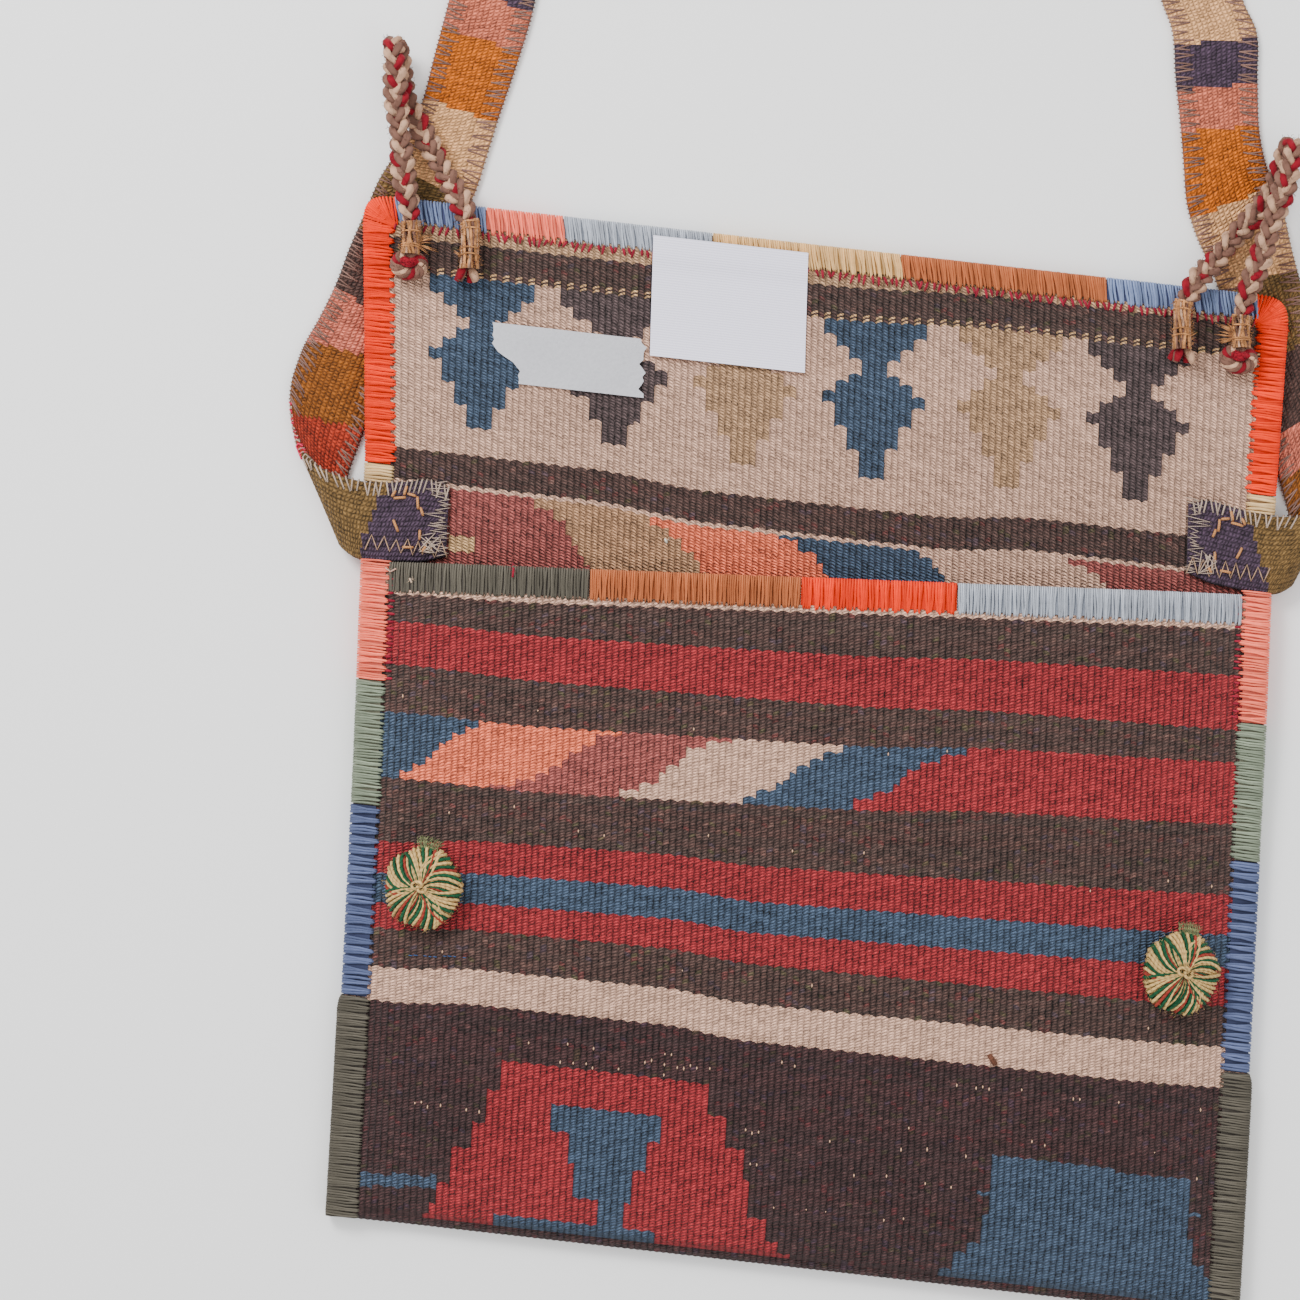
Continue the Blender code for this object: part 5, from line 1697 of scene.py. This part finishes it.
def wound_button(side, material, random):
    base, across, forward, normal = button_frame(side)
    foot = 1.5 * CLEARANCE + STALK_HEIGHT + CLEARANCE
    radius = BUTTON / 2

    def at(r, angle, z):
        return (base + across * (r * math.cos(angle)) + forward * (1.05 * r * math.sin(angle))
                + normal * (foot + z))

    low = math.sin(math.radians(-35))
    scale = BUTTON_HEIGHT / (1 - low)
    yarns = Yarns()
    tilts = np.radians([86, 74, 60, 44, 26, 8, -12, -30])
    for strands, first, spread, swirl, lift in BUTTON_LAYERS:
        for k in range(strands):
            angle = math.radians(first + spread * (k + 0.5) / strands)
            bulge = 1 + 0.035 * math.sin(5 * angle + 1) + 0.02 * math.sin(8 * angle) + 0.03 * random.random()
            wind = swirl + jitter(random, 0.16)
            path, thick = [], []
            for tilt in tilts:
                r = (radius - 0.0010 + lift) * math.cos(tilt) * bulge
                z = (math.sin(tilt) - low) * scale
                turn = angle + wind * (1 - math.cos(tilt)) + jitter(random, 0.02)
                path.append(at(r, turn, z - 0.0004 + lift + 0.0003 * random.random()))
                share = spread / 360 / strands
                thick.append(min(0.00064, max(0.00034, 1.05 * math.pi * r * share)))
            colour = BUTTON_PATTERN[(k + 2 * (first // 50)) % len(BUTTON_PATTERN)]
            yarns.add(path, thick, toned(colour, random, 0.82, 0.34), reference=normal)
    core = []
    for tilt in np.radians([80, 60, 40, 20, 0, -20, -34]):
        r = (radius - 0.0020) * math.cos(tilt)
        z = (math.sin(tilt) - low) * scale - 0.0010
        core.append([at(r, turn, z) for turn in np.linspace(0, math.tau, 25)])
    yarns.shell(core, linear(BUTTON_CORE))
    for _ in range(LOOSE_GREEN_ENDS):
        turn = math.radians(70 + 30 * random.random())
        reach = 0.0010 + 0.0026 * random.random()
        path = [at(radius * 0.85, turn, 0.0040), at(radius + reach * 0.4, turn + 0.05, 0.0048),
                at(radius + reach, turn + jitter(random, 0.16), 0.0030)]
        yarns.add(path, 0.0001, toned(BUTTON_PALE_GREEN, random, 0.8, 0.5),
                  reference=normal, sides=4)
    ring = np.array([at(radius * 0.93, turn, 0.0035) for turn in np.linspace(0, math.tau, 60)])
    hairs(yarns, ring, 0.0008, BUTTON_CREAM, BUTTON_HAIRS, random, length=0.0016, thick=0.00008)
    dress(yarns.build(f"wound_{side}", material), "button_wool", f"button_{side}")

    knot = Yarns()
    turns = np.linspace(0, 1.6 * math.pi, 16)
    for centre_x, centre_y, size, lift, start in KNOT_COILS:
        middle = at(0.0, 0.0, BUTTON_HEIGHT + lift)
        path = [middle + across * (centre_x + size * math.cos(turn))
                + forward * (centre_y + size * 0.8 * math.sin(turn)) + normal * 0.0004 * math.sin(2 * turn)
                for turn in turns + start]
        knot.add(path, 0.00062, toned(BUTTON_CREAM, random, 0.9, 0.3), reference=normal)
        hairs(knot, np.array(path), 0.0005, BUTTON_CREAM, COIL_HAIRS, random, length=0.0012)
    dress(knot.build(f"wound_knot_{side}", material), "button_wool", f"button_{side}_knot")

    stalk = Yarns()
    r = STALK / 2 - 0.0008
    for k in range(STALK_THREADS):
        turn = math.tau * k / STALK_THREADS
        start = base + across * r * math.cos(turn) + forward * r * math.sin(turn) - normal * 0.0003
        end = (base + across * r * math.cos(turn + 0.4) + forward * r * math.sin(turn + 0.4)
               + normal * (foot + 0.0006))
        stalk.add([start, (start + end) / 2, end], 0.0007, linear(STALK_YARN), reference=forward, sides=5)
    dress(stalk.build(f"wound_stalk_{side}", material), "whipping_wool", f"button_{side}_stalk")


# Label and tape

LABEL_SHADES = ((226, 222, 242), (240, 238, 252))
TAPE_GREY = (204, 204, 210)
TAPE_ALPHA = 0.78


def thin_sheet(name, node, slot, material, columns, rows, thick, shape, torn=0.0, tear=None):
    """A thin closed sheet over its CAD patch, lifted a little by shape and torn along its short ends."""
    corners = np.array([vertex.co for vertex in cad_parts[node].data.vertices])

    def level_with(y):
        return corners[np.abs(corners[:, 1] - y) < 1e-5]

    top_y, foot_y = corners[:, 1].max(), corners[:, 1].min()
    at_top, at_foot = level_with(top_y)[:, 0], level_with(foot_y)[:, 0]
    profile = sorted({(round(float(y), 6), round(float(level_with(y)[:, 2].min()), 6))
                      for y in corners[:, 1]})
    heights_y, heights_z = zip(*profile)
    points = []
    for layer in (1, 0):
        for i in range(rows + 1):
            v = i / rows
            left = at_foot.min() + (at_top.min() - at_foot.min()) * v
            right = at_foot.max() + (at_top.max() - at_foot.max()) * v
            y = foot_y + (top_y - foot_y) * v
            ragged = (math.sin(v * 31) * 0.5 + math.sin(v * 73 + 1) * 0.5) * torn
            lost = tear(v) if tear else 0.0
            for j in range(columns + 1):
                u = j / columns
                x = left + (right - left - torn + ragged) * u + lost * (1 - u)
                points.append((x, y, np.interp(y, heights_y, heights_z) + thick * layer + shape(u, v)))
    width = columns + 1
    count = width * (rows + 1)
    faces = []
    for quad in quads(rows + 1, width, closed=False):
        faces.append(quad)
        faces.append(tuple(count + corner for corner in (quad[0], *quad[:0:-1])))
    rim = [*range(width), *(i * width + columns for i in range(1, rows + 1)),
           *(rows * width + j for j in range(columns - 1, -1, -1)),
           *(i * width for i in range(rows - 1, 0, -1))]
    for here, there in zip(rim, rim[1:] + rim[:1]):
        faces.append((here, count + here, count + there, there))
    mesh = bpy.data.meshes.new(name)
    mesh.from_pydata(points, [], faces)
    mesh.shade_smooth()
    mesh.set_sharp_from_angle(angle=math.radians(50))
    mesh.materials.append(material)
    piece = dress(linked(name, mesh), slot, node)


def label_material():
    nodes = Nodes("label_cloth")
    spot = nodes.add("ShaderNodeTexCoord", "Object")
    wave = nodes.add("ShaderNodeTexWave", "Fac", {"Scale": 330, "Distortion": 0.4, "Vector": spot},
                     bands_direction="Y")
    dark, light = ((*linear(shade), 1) for shade in LABEL_SHADES)
    colour = nodes.add("ShaderNodeMix", 2, {6: dark, 7: light, 0: wave}, data_type="RGBA")
    nodes.feed(colour, nodes.shader.inputs["Base Color"])
    nodes.bump(wave, 0.0001)
    return nodes.finish(0.55)


def tape_material():
    nodes = Nodes("tape_paper")
    crepe = nodes.noise(900.0, 4.0)
    plain = nodes.add("ShaderNodeRGB")
    nodes.feed((*linear(TAPE_GREY), 1), plain.socket)
    nodes.paint(plain, crepe * 0.24 + 0.84)
    nodes.feed(TAPE_ALPHA, nodes.shader.inputs["Alpha"])
    nodes.bump(crepe, 0.00025)
    return nodes.finish(0.5)


def torn_corner(v):
    """How far the tape's left end is torn away, from its foot at 0 to its top at 1."""
    return 0.0105 * float(ease((0.62 - v) / 0.4)) + 0.0004 * math.sin(v * 37) + 0.0003 * math.sin(v * 91)


def patches():
    thin_sheet("label_blank", "label", "label_cloth", label_material(), 24, 18, 0.0004,
               lambda u, v: 0.0012 * (1 - v) ** 3 * (0.4 + u) + 0.0004 * math.sin(3 * u + 1) + 0.0006 * v)
    thin_sheet("tape_torn", "tape_strip", "tape_paper", tape_material(), 28, 14, 0.0003,
               lambda u, v: 0.0003 * math.sin(9 * u + 2) * math.sin(5 * v) + 0.0003,
               torn=0.0016, tear=torn_corner)


# Loose bits on the bag: colour, radius in mm, then x, y traced over the photo and height in mm
STRAYS = [
    ((200, 160, 140), 0.3, [(386, 568, 1.2), (391, 572, 1.8), (397, 569, 1.4)]),
    ((200, 175, 150), 0.4, [(411, 579, 1.2), (412, 581, 1.6), (413, 583, 1.3)]),
    ((150, 25, 50), 0.4, [(513, 563, 1.9), (515, 570, 2.5), (514, 578, 1.9)]),
    ((95, 60, 45), 1.0, [(987, 1052, 0.4), (990, 1057, 0.9), (993, 1062, 0.4)]),
    ((220, 215, 200), 0.4, [(665, 539, 0.5), (666, 541, 0.8), (667, 543, 0.5)]),
    ((150, 25, 50), 0.35, [(428, 538, 0.6), (433, 541, 1.0), (438, 540, 0.6)]),
]


# Spots of worn dark weft where pale warp shows: height and spread in mm, first and last rib, chance for a rib
WORN_SPOTS = [
    (77.0, 1.0, 28, 60, 0.22),
    (74.0, 1.0, 46, 58, 0.5),
    (70.0, 0.7, 30, 62, 0.35),
    (79.0, 0.8, 54, 140, 0.15),
    (60.0, 1.5, 62, 140, 0.10),
    (48.0, 1.2, 10, 24, 0.2),
    (40.0, 1.0, 62, 100, 0.16),
    (52.0, 0.8, 62, 136, 0.14),
    (25.0, 1.0, 68, 94, 0.2),
    (162.0, 4.0, 6, 140, 0.04),
    (203.0, 2.5, 6, 140, 0.04),
    (108.0, 3.5, 6, 140, 0.04),
]
HEARTH_FIELD_TOP = 0.068
TRACE_PITCH = 1.9


def warp_specks(material, random):
    """Pale warp, a stray blue weft and loose bits, on the cloth."""
    yarns = Yarns()
    pitch = 2 * CLOTH_HALF / RIBS
    for middle, spread, rib_from, rib_to, chance in WORN_SPOTS:
        for rib in range(rib_from, rib_to):
            if random.random() > chance:
                continue
            a = -CLOTH_HALF + rib * pitch
            h = (middle + jitter(random, spread) * 2) * MM
            if h < HEARTH_FIELD_TOP and hearth((a + HALF_WIDTH) / MM, h / MM) != "aubergine":
                continue
            length = 0.0009 + 0.0006 * random.random()
            z = float(front_top(a, h)) - RIB_VALLEY + 0.00035
            path = [place(a, h + length / 2 * way, z - 0.0003 * abs(way)) for way in (-1, 0, 1)]
            yarns.add(path, np.array([0.0002, 0.00034, 0.0002]), linear(YARN["warp"]), sides=5)
    height, left, right = BLUE_TRACE
    for k in range(int((right - left) / TRACE_PITCH)):
        if k % 4 == 2:
            continue
        a = (left + TRACE_PITCH * k) * MM - HALF_WIDTH
        reach = 0.0005 + 0.0007 * random.random()
        spots = [(a - reach, -0.0002), (a, 0.0002), (a + reach, -0.0002)]
        level = (height + BLUE_TRACE_CLIMB * TRACE_PITCH * k + 0.2 * math.sin(k)) * MM
        yarns.add([place(b, level, float(front_top(b, level)) + RIB_CREST + z) for b, z in spots],
                  0.0002, linear(YARN["trace"]), sides=5)
    for colour, radius, spots in STRAYS:
        path = []
        for x, y, lift in spots:
            a, h = traced_spot(x, y)
            high = float(front_top(a, h)) if h < mouth(a) else float(back_bottom(a, h)) + CLOTH
            path.append(place(a, h, high + lift * MM))
        yarns.add(path, radius * MM, linear(colour), sides=6)
        hairs(yarns, np.array(path), radius * MM, colour, 8, random, length=0.0016)
    return dress(yarns.build("warp_specks", material), "kilim_wool")


def main():
    random = np.random.RandomState(SEED)
    camera()
    braid = yarn_material("braid_yarn", 2, 5.0, 0.0003)
    for side in SIDES:
        braided_loop(side, braid, random)
    studio()
    weave = weave_material("kilim_wool", PICK_MM, 0.0008, 0.36, 0.62)
    cloth = dress(kilim(weave, random), "kilim_wool", "kilim_body")
    thread = yarn_material("sewing_thread", 2, 0.8, 0.00008, 0.7)
    specks = warp_specks(thread, random)
    wrap = yarn_material("wrap_yarn", 3, 16.0, 0.00012, 0.6)
    for side in SIDES:
        side_wraps(side, wrap, random)
    edge_wraps("top", TOP_WRAPS, top_station, wrap, random, level=False)
    edge_wraps("mouth", MOUTH_WRAPS, mouth_station, wrap, random, level=True)
    strap_weave = weave_material("strap_wool", 1.4, 0.0005, 0.10, 0.60)
    strap(strap_weave, thread, random)
    wound = yarn_material("wound_yarn", 2, 2.0, 0.0002, 0.75)
    for side in SIDES:
        wound_button(side, wound, random)
    patches()


main()
